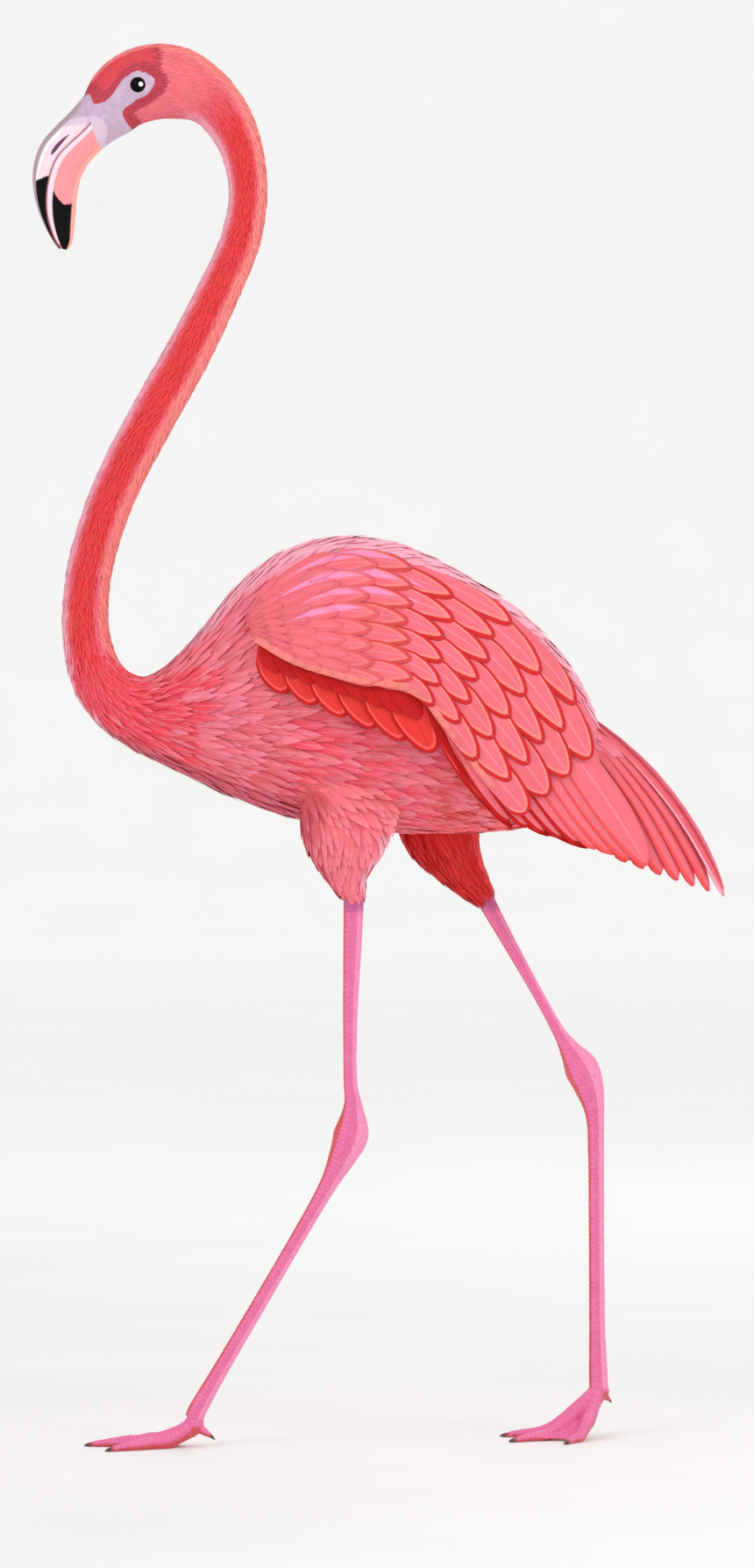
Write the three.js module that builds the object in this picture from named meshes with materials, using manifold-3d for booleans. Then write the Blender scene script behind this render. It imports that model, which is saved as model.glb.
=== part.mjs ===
// An American flamingo, life size, standing in mid stride with its neck raised in an S.
// Units are millimetres. +Z is up, the floor is Z = 0, the bird looks along -X and its left side is -Y.
import * as THREE from "three";
import { mergeVertices } from "three/addons/utils/BufferGeometryUtils.js";
import Module from "manifold-3d";

const wasm = await Module();
wasm.setup();

// ---- driving sizes ---------------------------------------------------------------------------
const SEAM = 0.3; // the gap between two pieces that meet face to face
const SKIN_SIDES = 24; // points round the neck and torso
const LEG_SIDES = 10; // points round a leg
const TOE_SIDES = 8; // points round a toe

// The bird's long body, from the bill base over the crown and down the neck to the rump. Each
// station is a cut across the body: its dorsal and ventral points in the mirror plane, its half
// width, and how much wider it is below than above (egg).
const BODY = [
  { name: "bill base", dorsal: [-271, 1243], ventral: [-254, 1194], halfWidth: 15.5, egg: 0.05 },
  { name: "face", dorsal: [-261, 1263], ventral: [-243, 1202], halfWidth: 19, egg: 0.05 },
  { name: "brow", dorsal: [-245, 1279], ventral: [-230, 1209], halfWidth: 22.5, egg: 0.0 },
  { name: "eye", dorsal: [-222, 1290], ventral: [-217, 1216], halfWidth: 24.5, egg: -0.04 },
  { name: "crown", dorsal: [-195, 1293], ventral: [-201, 1220], halfWidth: 25.5, egg: -0.06 },
  { name: "nape", dorsal: [-167, 1286], ventral: [-185, 1220], halfWidth: 24.5, egg: -0.04 },
  { name: "neck top", dorsal: [-139, 1265], ventral: [-168, 1217], halfWidth: 22.5, egg: 0 },
  { name: "neck arch", dorsal: [-117, 1235], ventral: [-152, 1199], halfWidth: 21, egg: 0 },
  { name: "neck back", dorsal: [-104, 1199], ventral: [-143, 1179], halfWidth: 19.5, egg: 0 },
  { name: "neck drop", dorsal: [-99, 1158], ventral: [-139, 1153], halfWidth: 19, egg: 0 },
  { name: "neck lean", dorsal: [-103, 1118], ventral: [-143, 1127], halfWidth: 19, egg: 0 },
  { name: "neck upper", dorsal: [-115, 1080], ventral: [-154, 1096], halfWidth: 19.5, egg: 0 },
  { name: "neck middle", dorsal: [-151, 1000], ventral: [-193, 1021], halfWidth: 21.5, egg: 0 },
  { name: "neck lower", dorsal: [-187, 934], ventral: [-230, 956], halfWidth: 23, egg: 0 },
  { name: "neck curve", dorsal: [-220, 870], ventral: [-264, 889], halfWidth: 23, egg: 0 },
  { name: "neck bend", dorsal: [-240, 811], ventral: [-287, 819], halfWidth: 23.5, egg: 0 },
  { name: "neck foot", dorsal: [-245, 763], ventral: [-294, 760], halfWidth: 24.5, egg: 0 },
  { name: "neck base", dorsal: [-239, 731], ventral: [-289, 712], halfWidth: 26.5, egg: 0 },
  { name: "throat bend", dorsal: [-226, 713], ventral: [-275, 678], halfWidth: 30, egg: 0 },
  { name: "crop", dorsal: [-206, 710], ventral: [-249, 650], halfWidth: 37, egg: 0.03 },
  { name: "breast", dorsal: [-184, 729], ventral: [-212, 628], halfWidth: 48, egg: 0.06 },
  { name: "shoulder", dorsal: [-158, 761], ventral: [-168, 606], halfWidth: 63, egg: 0.1 },
  { name: "wing root", dorsal: [-126, 801], ventral: [-126, 586], halfWidth: 77, egg: 0.1 },
  { name: "back rise", dorsal: [-84, 831], ventral: [-81, 571], halfWidth: 86, egg: 0.08 },
  { name: "back top", dorsal: [-32, 843], ventral: [-34, 561], halfWidth: 89, egg: 0.06 },
  { name: "mid back", dorsal: [24, 835], ventral: [8, 557], halfWidth: 88, egg: 0.04 },
  { name: "loin", dorsal: [81, 808], ventral: [48, 556], halfWidth: 82, egg: 0.02 },
  { name: "hip", dorsal: [130, 775], ventral: [88, 557], halfWidth: 73, egg: 0 },
  { name: "rump", dorsal: [166, 739], ventral: [126, 561], halfWidth: 60, egg: 0 },
  { name: "lower rump", dorsal: [193, 697], ventral: [158, 568], halfWidth: 45, egg: 0 },
  { name: "tail root", dorsal: [205, 658], ventral: [183, 578], halfWidth: 31, egg: 0 },
  { name: "vent", dorsal: [207, 628], ventral: [199, 596], halfWidth: 15, egg: 0 },
];
const bodyT = (name) => BODY.findIndex((s) => s.name === name);

const EYE = { x: -220, y: 18.3, z: 1251, radius: 9.2, lidRadius: 8.1, lidThickness: 1.6, lidSeat: 6.2 };

// The bill, from its base to its tip: culmen is its upper outline, mouth the line where the two
// halves close, keel its lower outline.
const BILL = [
  { culmen: [-271, 1243], mouth: [-262.3, 1217], keel: [-254, 1194], upper: 13.4, lower: 14.8 },
  { culmen: [-283, 1229], mouth: [-272, 1207], keel: [-261, 1187], upper: 13.3, lower: 15.2 },
  { culmen: [-296, 1216], mouth: [-283, 1197], keel: [-268, 1178], upper: 13.0, lower: 15.2 },
  { culmen: [-309, 1201], mouth: [-294, 1185], keel: [-273.5, 1167], upper: 12.4, lower: 14.8 },
  { culmen: [-316, 1184], mouth: [-301, 1168], keel: [-276.5, 1153], upper: 11.4, lower: 13.8 },
  { culmen: [-318, 1164], mouth: [-304, 1149], keel: [-278, 1138], upper: 9.8, lower: 12.0 },
  { culmen: [-314, 1141], mouth: [-303, 1131], keel: [-279.5, 1121], upper: 7.8, lower: 9.8 },
  { culmen: [-305, 1119], mouth: [-298, 1114], keel: [-281.5, 1108], upper: 5.4, lower: 7.2 },
  { culmen: [-295, 1103], mouth: [-292, 1102.5], keel: [-286, 1101], upper: 2.4, lower: 3.4 },
];
const NOSTRIL = { x: -293, y: 11.3, z: 1201, length: 16, width: 2.4, depth: 3, lean: 50 }; // lean in degrees

// The folded wing is laid out on the side of the bird. Its surface bulges from the mirror plane by
// halfWidth at the height mid, and closes towards the back line at the height top.
const WING_FORM = [
  { x: -130, top: 800, mid: 694, halfWidth: 81 },
  { x: -85, top: 832, mid: 701, halfWidth: 95 },
  { x: -32, top: 844, mid: 702, halfWidth: 102 },
  { x: 20, top: 838, mid: 694, halfWidth: 102 },
  { x: 81, top: 811, mid: 678, halfWidth: 96 },
  { x: 130, top: 779, mid: 655, halfWidth: 86 },
  { x: 166, top: 745, mid: 632, halfWidth: 76 },
  { x: 193, top: 706, mid: 610, halfWidth: 66 },
  { x: 215, top: 672, mid: 588, halfWidth: 58 },
  { x: 260, top: 630, mid: 552, halfWidth: 46 },
  { x: 330, top: 560, mid: 490, halfWidth: 34 },
];
const WING_TOP = [[-119, 766], [-92, 796], [-32, 820], [38, 806], [112, 768], [164, 715], [200, 656]];
const WING_BOTTOM = [[-115, 742], [-74, 718], [-20, 702], [32, 692], [64, 658], [94, 618], [126, 583]];
const WING_TUCK = 0.3; // how far the wing's lower part draws in under its widest line
const COVERT_ROWS = 5; // tiers of coverts, each overlapping the next
const COVERTS_A_ROW = 4;
const FIRST_COVERT_TIP = 0.34; // places along the wing, 0 at the shoulder and 1 at its rear edge
const LAST_COVERT_TIP = 1.04;
const COVERT_LENGTH = 0.25;
const COVERT_STEP = 2.8; // how far a covert's tip stands over the next tier
const COVERT_SHARES = [0, 0.5, 0.8, 0.94, 1]; // places along a covert, closer at its tip
const FLIGHT_COUNT = 6;
const FLIGHT_SHARES = [0, 0.35, 0.65, 0.84, 0.94, 1];
const FLIGHT_ROOTS = [[56, 668], [150, 672]]; // of the lowest and the uppermost flight feather
const FLIGHT_TIPS = [[122, 576], [246, 535]];
const FLIGHT_WIDTH = 37;
const UNDER_COUNT = 5; // red coverts that show under the wing's front edge
const UNDER_ROOTS = [[-100, 744], [12, 722]];
const UNDER_TIPS = [[-82, 690], [48, 640]];
const UNDER_SHARES = [0, 0.6, 0.88, 1];

const TAIL_PAIRS = 5; // tail feathers on each side
const TAIL_ROOT = { x: 189, z: 672 };
const TAIL_LENGTH = 216; // of the middle pair
const TAIL_GRADE = 0.3; // how much shorter the outermost pair is
const TAIL_WIDTH = 23;
const TAIL_SPREAD = 13; // from one feather's middle line to the next
const TAIL_PITCH = [34, 36]; // the slope at the root and how much more it droops at the tip, in degrees
const TAIL_SHARES = [0, 0.25, 0.5, 0.74, 0.91, 1];
const TAIL_FLESH = [
  { share: 0, half: 30, width: 24, sink: 26 },
  { share: 0.16, half: 27, width: 23, sink: 25 },
  { share: 0.3, half: 21, width: 19, sink: 22 },
  { share: 0.42, half: 12, width: 12, sink: 17 },
  { share: 0.5, half: 4, width: 5, sink: 13 },
];

// A thigh's feathers taper from inside the belly to the bare leg: [x, y, z, half depth, half width].
const THIGH_LEFT = [
  [-28, -40, 636, 38, 20], [-29, -42, 596, 45, 24], [-29, -43, 566, 44, 26],
  [-29, -44, 546, 36, 23], [-28, -44.5, 526, 23, 17], [-21, -44, 506, 12, 11.5],
];
const THIGH_RIGHT = [
  [40, 41, 632, 36, 20], [50, 43, 594, 41, 25], [58, 45, 566, 40, 26],
  [67, 46, 547, 32, 23], [80, 46.5, 526, 23, 17], [99, 46, 503, 12.5, 11.5],
];
// The bare legs: the shank down to the ankle, then the tarsus down to the toes.
const LEG_LEFT = [
  [-21, -44, 514, 9.6, 9.4], [-22.5, -43.5, 460, 8.6, 8.2], [-24.5, -42.5, 396, 6.8, 6.6],
  [-24.5, -41.5, 338, 6.3, 6.2], [-22, -41, 314, 8.6, 7.6], [-23.5, -40.5, 288, 16.2, 11],
  [-31, -40.3, 268, 13.2, 10.6], [-44, -40, 242, 8.4, 7.6], [-65, -39.6, 205, 6.9, 6],
  [-107, -39, 133, 6.9, 5.8], [-144, -38.5, 70, 7.4, 6], [-163, -38, 37, 8.6, 7.2], [-168, -38, 26, 8.8, 7.4],
];
const LEG_RIGHT = [
  [94.5, 46, 512, 9, 9.2], [121, 46.5, 464, 6.6, 7.2], [149, 47, 414, 5.2, 6.2],
  [169, 47.5, 378, 6, 6.4], [179.5, 48, 361, 10, 8.2], [190, 48, 344, 16, 11],
  [198, 48.5, 324, 13.6, 10.4], [203, 49, 299, 8.8, 7.6], [204, 49.4, 262, 7.6, 6],
  [204.5, 50, 180, 7.4, 5.8], [205, 50.5, 104, 7.6, 6], [206, 51, 62, 8.8, 7.2], [206.5, 51, 46, 9, 7.4],
];
const ANKLE_CUT = 6 / 12; // where the shank ends and the tarsus starts, as a share of the stations
const FOOT_CUT = 11.1 / 12; // where the tarsus ends and the foot starts

// The feet. Heading is the middle toe's turn from -X towards -Y, in degrees; heights are those of a
// toe's middle line at these shares of its length.
const TOE_SHARES = [0, 0.14, 0.34, 0.62, 0.84, 1];
const FEET = {
  left: { leg: LEG_LEFT, knuckle: [-168, -38, 20], heading: 0, heights: [18, 12.5, 6.2, 5.1, 3.8, 2.4] },
  right: { leg: LEG_RIGHT, knuckle: [207, 51, 43], heading: 32, heights: [41, 33, 18, 5.1, 3.8, 2.4] },
};
const TOES = [
  { name: "outer", turn: 31, length: 85 },
  { name: "middle", turn: 0, length: 93 },
  { name: "inner", turn: -33, length: 74 },
];
const TOE_HALF_HEIGHT = [8.4, 7.8, 6.8, 5.8, 4.6, 2.6];
const TOE_HALF_WIDTH = [6.5, 6.2, 5.8, 5.6, 4.8, 2.8];
const WEB_THICKNESS = 1.6;
const WEB_SCALLOP = 0.26; // how far the web's edge draws back between two toes
const HALLUX = { length: 15, radius: 3.6 };
const CLAW_LENGTH = 8;

// ---- colours ---------------------------------------------------------------------------------
const PLUMAGE = { color: 0xf46a78, roughness: 0.85, metalness: 0 };
const NECK_PLUMAGE = { color: 0xe5484c, roughness: 0.85, metalness: 0 };
const WING_PLUMAGE = { color: 0xf7707c, roughness: 0.8, metalness: 0 };
const LEG_SKIN = { color: 0xee70a6, roughness: 0.6, metalness: 0 };
const BILL_PALE = { color: 0xf6cfdd, roughness: 0.45, metalness: 0 };
const BILL_ROSE = { color: 0xf89a9e, roughness: 0.45, metalness: 0 };
const EYE_BLACK = { color: 0x080808, roughness: 0.08, metalness: 0 };
const CLAW_HORN = { color: 0x6b3d4a, roughness: 0.5, metalness: 0 };

// ---- solids ----------------------------------------------------------------------------------
const clamp01 = (v) => Math.min(1, Math.max(0, v));
const mix = (a, b, t) => a + (b - a) * t;
const mixPoint = (a, b, t) => a.map((v, i) => mix(v, b[i], t));
const degrees = (angle) => (angle * Math.PI) / 180;

// A closed solid from points and triangles, turned right way out whichever way it was wound.
function solidFrom(points, triangles) {
  let volume = 0;
  for (const [a, b, c] of triangles) {
    volume += points[a].dot(new THREE.Vector3().crossVectors(points[b], points[c]));
  }
  const wound = volume < 0 ? triangles.map(([a, b, c]) => [a, c, b]) : triangles;
  return new wasm.Manifold(
    new wasm.Mesh({
      numProp: 3,
      vertProperties: new Float32Array(points.flatMap((p) => [p.x, p.y, p.z])),
      triVerts: new Uint32Array(wound.flat()),
    }),
  );
}

// A three.js geometry as a solid.
function solidOf(geometry) {
  geometry.deleteAttribute("normal");
  geometry.deleteAttribute("uv");
  const merged = mergeVertices(geometry, 1e-3);
  return new wasm.Manifold(
    new wasm.Mesh({
      numProp: 3,
      vertProperties: new Float32Array(merged.attributes.position.array),
      triVerts: new Uint32Array(merged.index.array),
    }),
  );
}

// Rings of equal size joined into a closed skin, with a fan over each end.
function loft(rings) {
  const sides = rings[0].length;
  const points = rings.flat();
  const triangles = [];
  for (let r = 0; r + 1 < rings.length; r++) {
    for (let i = 0; i < sides; i++) {
      const a = r * sides + i;
      const b = r * sides + ((i + 1) % sides);
      triangles.push([a, b, a + sides], [b, b + sides, a + sides]);
    }
  }
  for (const [r, flip] of [[0, true], [rings.length - 1, false]]) {
    const centre = new THREE.Vector3();
    rings[r].forEach((p) => centre.addScaledVector(p, 1 / sides));
    points.push(centre);
    for (let i = 0; i < sides; i++) {
      const a = r * sides + i;
      const b = r * sides + ((i + 1) % sides);
      triangles.push(flip ? [b, a, points.length - 1] : [a, b, points.length - 1]);
    }
  }
  return solidFrom(points, triangles);
}

// Two equal grids of points, an outer and an inner face, joined round their rim.
function slab(outer, inner) {
  const rows = outer.length;
  const columns = outer[0].length;
  const points = [...outer.flat(), ...inner.flat()];
  const offset = rows * columns;
  const at = (r, c) => r * columns + c;
  const triangles = [];
  for (let r = 0; r + 1 < rows; r++) {
    for (let c = 0; c + 1 < columns; c++) {
      const [p, q, s, t] = [at(r, c), at(r, c + 1), at(r + 1, c), at(r + 1, c + 1)];
      triangles.push([p, q, s], [q, t, s]);
      triangles.push([p + offset, s + offset, q + offset], [q + offset, s + offset, t + offset]);
    }
  }
  const rim = [];
  for (let c = 0; c + 1 < columns; c++) rim.push([at(0, c), at(0, c + 1)]);
  for (let r = 0; r + 1 < rows; r++) rim.push([at(r, columns - 1), at(r + 1, columns - 1)]);
  for (let c = columns - 1; c > 0; c--) rim.push([at(rows - 1, c), at(rows - 1, c - 1)]);
  for (let r = rows - 1; r > 0; r--) rim.push([at(r, 0), at(r - 1, 0)]);
  for (const [a, b] of rim) triangles.push([b, a, a + offset], [b, a + offset, b + offset]);
  return solidFrom(points, triangles);
}

const union = (solids) => solids.reduce((a, b) => a.add(b));

// The largest closed surface of a solid: it drops loose scraps and fills sealed hollows.
function largest(solid) {
  const pieces = solid.decompose();
  return pieces.reduce((a, b) => (b.volume() > a.volume() ? b : a));
}

const group = new THREE.Group();

function addNode(name, solid, look) {
  const made = largest(solid).getMesh();
  const positions = new Float32Array(made.numVert * 3);
  for (let i = 0; i < made.numVert; i++) {
    positions.set(made.vertProperties.subarray(i * made.numProp, i * made.numProp + 3), i * 3);
  }
  const geometry = new THREE.BufferGeometry();
  geometry.setAttribute("position", new THREE.BufferAttribute(positions, 3));
  geometry.setIndex(new THREE.BufferAttribute(made.triVerts, 1));
  geometry.computeVertexNormals();
  const mesh = new THREE.Mesh(geometry, new THREE.MeshStandardMaterial(look));
  mesh.name = name;
  group.add(mesh);
}

// ---- head, neck and torso ----------------------------------------------------------------------
const bodyDorsal = new THREE.SplineCurve(BODY.map((s) => new THREE.Vector2(...s.dorsal)));
const bodyVentral = new THREE.SplineCurve(BODY.map((s) => new THREE.Vector2(...s.ventral)));
const bodyBreadth = new THREE.SplineCurve(BODY.map((s) => new THREE.Vector2(s.halfWidth, s.egg)));

// A ring round the body at a station, which may lie between two named ones. It can be grown
// outwards and shifted along the body, towards the rump.
function bodyRing(station, grow = 0, shift = 0) {
  const t = station / (BODY.length - 1);
  const dorsal = bodyDorsal.getPoint(t);
  const ventral = bodyVentral.getPoint(t);
  const breadth = bodyBreadth.getPoint(t);
  const centre = dorsal.clone().add(ventral).multiplyScalar(0.5);
  const up = dorsal.clone().sub(ventral);
  const halfDepth = up.length() / 2 + grow;
  up.normalize();
  const along = new THREE.Vector2(up.y, -up.x).multiplyScalar(shift);
  return Array.from({ length: SKIN_SIDES }, (_, i) => {
    const angle = (2 * Math.PI * i) / SKIN_SIDES;
    const rise = Math.cos(angle);
    const across = Math.sin(angle) * (breadth.x + grow) * (1 - breadth.y * rise);
    return new THREE.Vector3(
      centre.x + up.x * rise * halfDepth + along.x,
      across,
      centre.y + up.y * rise * halfDepth + along.y,
    );
  });
}

function bodyLength(from, to, steps, grow = 0) {
  const rings = [];
  for (let i = 0; i <= steps; i++) {
    const shift = i === 0 ? SEAM / 2 - grow : i === steps ? grow - SEAM / 2 : 0;
    rings.push(bodyRing(mix(from, to, i / steps), grow, shift));
  }
  return loft(rings);
}

const NECK_CUTS = [bodyT("neck top"), 8.6, 11, 13.2, 15.6, bodyT("throat bend") + 0.5];
NECK_CUTS.slice(0, -1).forEach((from, i) => {
  const to = NECK_CUTS[i + 1];
  addNode(`neck_${i + 1}`, bodyLength(from, to, Math.ceil((to - from) * 1.7)), NECK_PLUMAGE);
});

const TORSO_FROM = NECK_CUTS.at(-1);
const TORSO_TO = bodyT("vent");
const torso = bodyLength(TORSO_FROM, TORSO_TO, 24);
const torsoGrown = bodyLength(TORSO_FROM, TORSO_TO, 24, 0.5);
addNode("torso", torso, PLUMAGE);

// ---- head ------------------------------------------------------------------------------------
function ball(x, y, z, radius, detail = 9) {
  return solidOf(new THREE.SphereGeometry(radius, detail * 2, detail).translate(x, y, z));
}

// A lid: a ring round the eye, on the side of the head.
function lid(side) {
  const profile = Array.from({ length: 6 }, (_, i) => {
    const angle = (2 * Math.PI * i) / 5;
    return new THREE.Vector2(
      EYE.lidRadius + EYE.lidThickness * Math.cos(angle),
      EYE.lidThickness * 1.5 * Math.sin(angle),
    );
  });
  const ring = new THREE.LatheGeometry(profile, 15);
  return solidOf(ring.translate(EYE.x, side * (EYE.y + EYE.lidSeat), EYE.z));
}

let head = bodyLength(bodyT("bill base"), bodyT("neck top"), 12);
for (const side of [-1, 1]) head = head.add(lid(side));
for (const side of [-1, 1]) head = head.subtract(ball(EYE.x, side * EYE.y, EYE.z, EYE.radius + SEAM));
addNode("head", head, PLUMAGE);
addNode("eye_left", ball(EYE.x, -EYE.y, EYE.z, EYE.radius, 8), EYE_BLACK);
addNode("eye_right", ball(EYE.x, EYE.y, EYE.z, EYE.radius, 8), EYE_BLACK);

// ---- bill --------------------------------------------------------------------------------------
// A half of the bill is a dome on the flat of the mouth line. The gap along that line is a seam.
const BILL_ARCH = 8; // steps over the dome
const BILL_RINGS = 16;

function billHalf(outline, widthKey, sign) {
  const crest = new THREE.SplineCurve(BILL.map((s) => new THREE.Vector2(...s[outline])));
  const mouth = new THREE.SplineCurve(BILL.map((s) => new THREE.Vector2(...s.mouth)));
  const width = new THREE.SplineCurve(BILL.map((s, i) => new THREE.Vector2(i, s[widthKey])));
  const rings = [];
  for (let r = 0; r <= BILL_RINGS; r++) {
    const t = r / BILL_RINGS;
    const base = mouth.getPoint(t);
    const rise = crest.getPoint(t).sub(base);
    const depth = rise.length();
    rise.normalize();
    const ahead = new THREE.Vector2(rise.y, -rise.x).multiplyScalar(-sign);
    const shift = r === 0 ? SEAM : 0;
    const halfWidth = width.getPoint(t).y;
    const ring = [];
    for (let i = 0; i <= BILL_ARCH; i++) {
      const angle = (Math.PI * i) / BILL_ARCH;
      const up = (SEAM + 0.1) / 2 + (depth - SEAM / 2) * Math.pow(Math.sin(angle), 0.85);
      const across = Math.sign(Math.cos(angle)) * Math.pow(Math.abs(Math.cos(angle)), 0.9);
      ring.push(
        new THREE.Vector3(
          base.x + rise.x * up + ahead.x * shift,
          across * halfWidth,
          base.y + rise.y * up + ahead.y * shift,
        ),
      );
    }
    rings.push(ring);
  }
  return loft(rings);
}

function nostril(side) {
  const slit = new THREE.SphereGeometry(1, 10, 6)
    .scale(NOSTRIL.length / 2, NOSTRIL.depth, NOSTRIL.width / 2)
    .rotateY(-degrees(NOSTRIL.lean))
    .translate(NOSTRIL.x, side * NOSTRIL.y, NOSTRIL.z);
  return solidOf(slit);
}

let upperBill = billHalf("culmen", "upper", 1);
for (const side of [-1, 1]) upperBill = upperBill.subtract(nostril(side));
addNode("bill_upper", upperBill, BILL_PALE);
addNode("bill_lower", billHalf("keel", "lower", -1), BILL_ROSE);

// ---- wings -------------------------------------------------------------------------------------
// The wing form's numbers at x, by a smooth curve through the named places.
const wingX = WING_FORM.map((f) => f.x);

function wingForm(x) {
  const last = WING_FORM.length - 1;
  let i = wingX.findIndex((v) => v > x) - 1;
  if (x <= wingX[0]) i = 0;
  if (x >= wingX[last]) i = last - 1;
  const t = clamp01((x - wingX[i]) / (wingX[i + 1] - wingX[i]));
  const numbers = {};
  for (const key of ["top", "mid", "halfWidth"]) {
    const v = [-1, 0, 1, 2].map((k) => WING_FORM[Math.min(last, Math.max(0, i + k))][key]);
    const a = (v[2] - v[0]) / 2;
    const b = (v[3] - v[1]) / 2;
    const bend = (2 * v[1] - 2 * v[2] + a + b) * t ** 3 + (-3 * v[1] + 3 * v[2] - 2 * a - b) * t ** 2;
    numbers[key] = bend + a * t + v[1];
  }
  return numbers;
}

// How far the wing's surface stands from the mirror plane at a place on the side of the bird.
function wingReach(x, z) {
  const form = wingForm(x);
  const q = (z - form.mid) / (form.top - form.mid);
  if (q > 0) return form.halfWidth * Math.sqrt(1 - Math.min(q, 0.985) ** 2);
  return form.halfWidth * (1 - WING_TUCK * Math.min(-q, 1.6) ** 2);
}

// A point on the wing, lifted off its surface along the normal.
function wingPoint(side, x, z, lift) {
  const step = 2;
  const slopeX = (wingReach(x + step, z) - wingReach(x - step, z)) / (2 * step);
  const slopeZ = (wingReach(x, z + step) - wingReach(x, z - step)) / (2 * step);
  const normal = new THREE.Vector3(-slopeX, 1, -slopeZ).normalize().multiplyScalar(lift);
  return new THREE.Vector3(x + normal.x, side * (wingReach(x, z) + normal.y), z + normal.z);
}

const wingTop = new THREE.SplineCurve(WING_TOP.map((p) => new THREE.Vector2(...p)));
const wingBottom = new THREE.SplineCurve(WING_BOTTOM.map((p) => new THREE.Vector2(...p)));

// The place at u along the wing and v from its upper edge to its lower one. Past the rear edge it
// runs straight on.
function wingPlace(u, v) {
  const inside = Math.min(u, 1);
  const place = (s) => wingTop.getPoint(s).lerp(wingBottom.getPoint(s), v);
  const at = place(inside);
  if (u > 1) at.addScaledVector(place(1).sub(place(0.96)), (u - 1) / 0.04);
  return at;
}

// The arm and its skin, under the feathers.
function wingShield(side) {
  const [along, across] = [10, 6];
  const outer = [];
  const inner = [];
  for (let r = 0; r <= along; r++) {
    const u = r / along;
    outer.push([]);
    inner.push([]);
    for (let c = 0; c <= across; c++) {
      const v = c / across;
      const { x, y: z } = wingPlace(u, v);
      const rim = Math.min(v, 1 - v, u * 1.4, (1 - u) * 1.5 + 0.06) / 0.16;
      const drop = -4.2 * (1 - Math.sqrt(clamp01(rim)));
      outer[r].push(wingPoint(side, x, z, drop));
      inner[r].push(wingPoint(side, x, z, drop - mix(24, 4.5, u ** 1.5)));
    }
  }
  return slab(outer, inner);
}

// Where a vane's points lie across it.
const FLAT = [-1, 1];
const RIDGED = [-1, 0, 1];

// How wide a vane is at a share of its length: a narrow root, full sides and a round or long tip.
function vaneWidth(s, tipLength) {
  const root = mix(0.55, 1, clamp01(s / 0.35));
  const tip = s < 1 - tipLength ? 1 : Math.sqrt(Math.max(0, 1 - ((s - 1 + tipLength) / tipLength) ** 2));
  return Math.max(root * tip, 0.12);
}

// A vane laid on the wing, flat or ridged along its shaft. place(s, w) gives its ground at a share s of its length and w across.
// lift(s, w) is its upper face's height over the wing, and thickness its own.
function wingVane(side, shares, columns, place, lift, thickness) {
  const face = (depth) =>
    shares.map((s) =>
      columns.map((w) => {
        const { x, y: z } = place(s, w);
        return wingPoint(side, x, z, lift(s, w) - depth * thickness(s, w));
      }),
    );
  return slab(face(0), face(1));
}

// Coverts lie in tiers, each tip over the roots of the tier behind.
function coverts(side) {
  const made = [];
  for (let row = 0; row < COVERT_ROWS; row++) {
    const tipU = mix(FIRST_COVERT_TIP, LAST_COVERT_TIP, row / (COVERT_ROWS - 1));
    for (let j = 0; j < COVERTS_A_ROW; j++) {
      const v = (j + (row % 2 ? 0.3 : 0.7)) / COVERTS_A_ROW;
      const stagger = 0.022 * Math.sin(2.4 * j + row);
      const half = 0.54 / COVERTS_A_ROW;
      const place = (s, w) => {
        const u = tipU + stagger - COVERT_LENGTH * (1 - s);
        return wingPlace(u, clamp01(v + w * half * vaneWidth(s, 0.5)));
      };
      const lift = (s) => mix(-1.6, COVERT_STEP, s);
      const thickness = (s) => (row + 1 === COVERT_ROWS ? mix(2.4, 1.5, s) : 3.4);
      made.push(wingVane(side, COVERT_SHARES, FLAT, place, lift, thickness));
    }
  }
  return made;
}

// A straight vane between two places on the side of the bird, for the long feathers.
function straightPlace(root, tip, width, tipLength, sag) {
  const from = new THREE.Vector2(...root);
  const axis = new THREE.Vector2(...tip).sub(from);
  const across = new THREE.Vector2(-axis.y, axis.x).normalize();
  return (s, w) => {
    const at = from.clone().addScaledVector(axis, s);
    return at.addScaledVector(across, (w * width * vaneWidth(s, tipLength)) / 2 + sag * 4 * s * (1 - s));
  };
}

// Flight feathers: long vanes in a stack, each leaning so that its lower edge clears the next.
function flightFeathers(side) {
  return Array.from({ length: FLIGHT_COUNT }, (_, i) => {
    const share = i / (FLIGHT_COUNT - 1);
    const place = straightPlace(
      mixPoint(FLIGHT_ROOTS[0], FLIGHT_ROOTS[1], share),
      mixPoint(FLIGHT_TIPS[0], FLIGHT_TIPS[1], share),
      FLIGHT_WIDTH,
      0.42,
      3,
    );
    const lean = 1.9;
    const lift = (s, w) => -3.4 + 1.1 * share + (w === 0 ? 0.5 : w * lean * -1);
    return wingVane(side, FLIGHT_SHARES, RIDGED, place, lift, (s, w) => (w === 0 ? 1.3 : 0.9));
  });
}

// The red coverts under the wing's front edge lie between it and the breast.
function underCoverts(side) {
  return Array.from({ length: UNDER_COUNT }, (_, i) => {
    const share = i / (UNDER_COUNT - 1);
    const place = straightPlace(
      mixPoint(UNDER_ROOTS[0], UNDER_ROOTS[1], share),
      mixPoint(UNDER_TIPS[0], UNDER_TIPS[1], share),
      mix(31, 36, share),
      0.4,
      -4,
    );
    const lift = (s, w) => mix(-7.5, -6.2, share) - (w === 0 ? 0 : w * 1.3) + 1.2 * s;
    return wingVane(side, UNDER_SHARES, RIDGED, place, lift, () => 1.4);
  });
}

for (const [name, side] of [["wing_left", -1], ["wing_right", 1]]) {
  const feathers = [...coverts(side), ...flightFeathers(side), ...underCoverts(side)];
  addNode(name, union([wingShield(side), ...feathers]).subtract(torsoGrown), WING_PLUMAGE);
}

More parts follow.
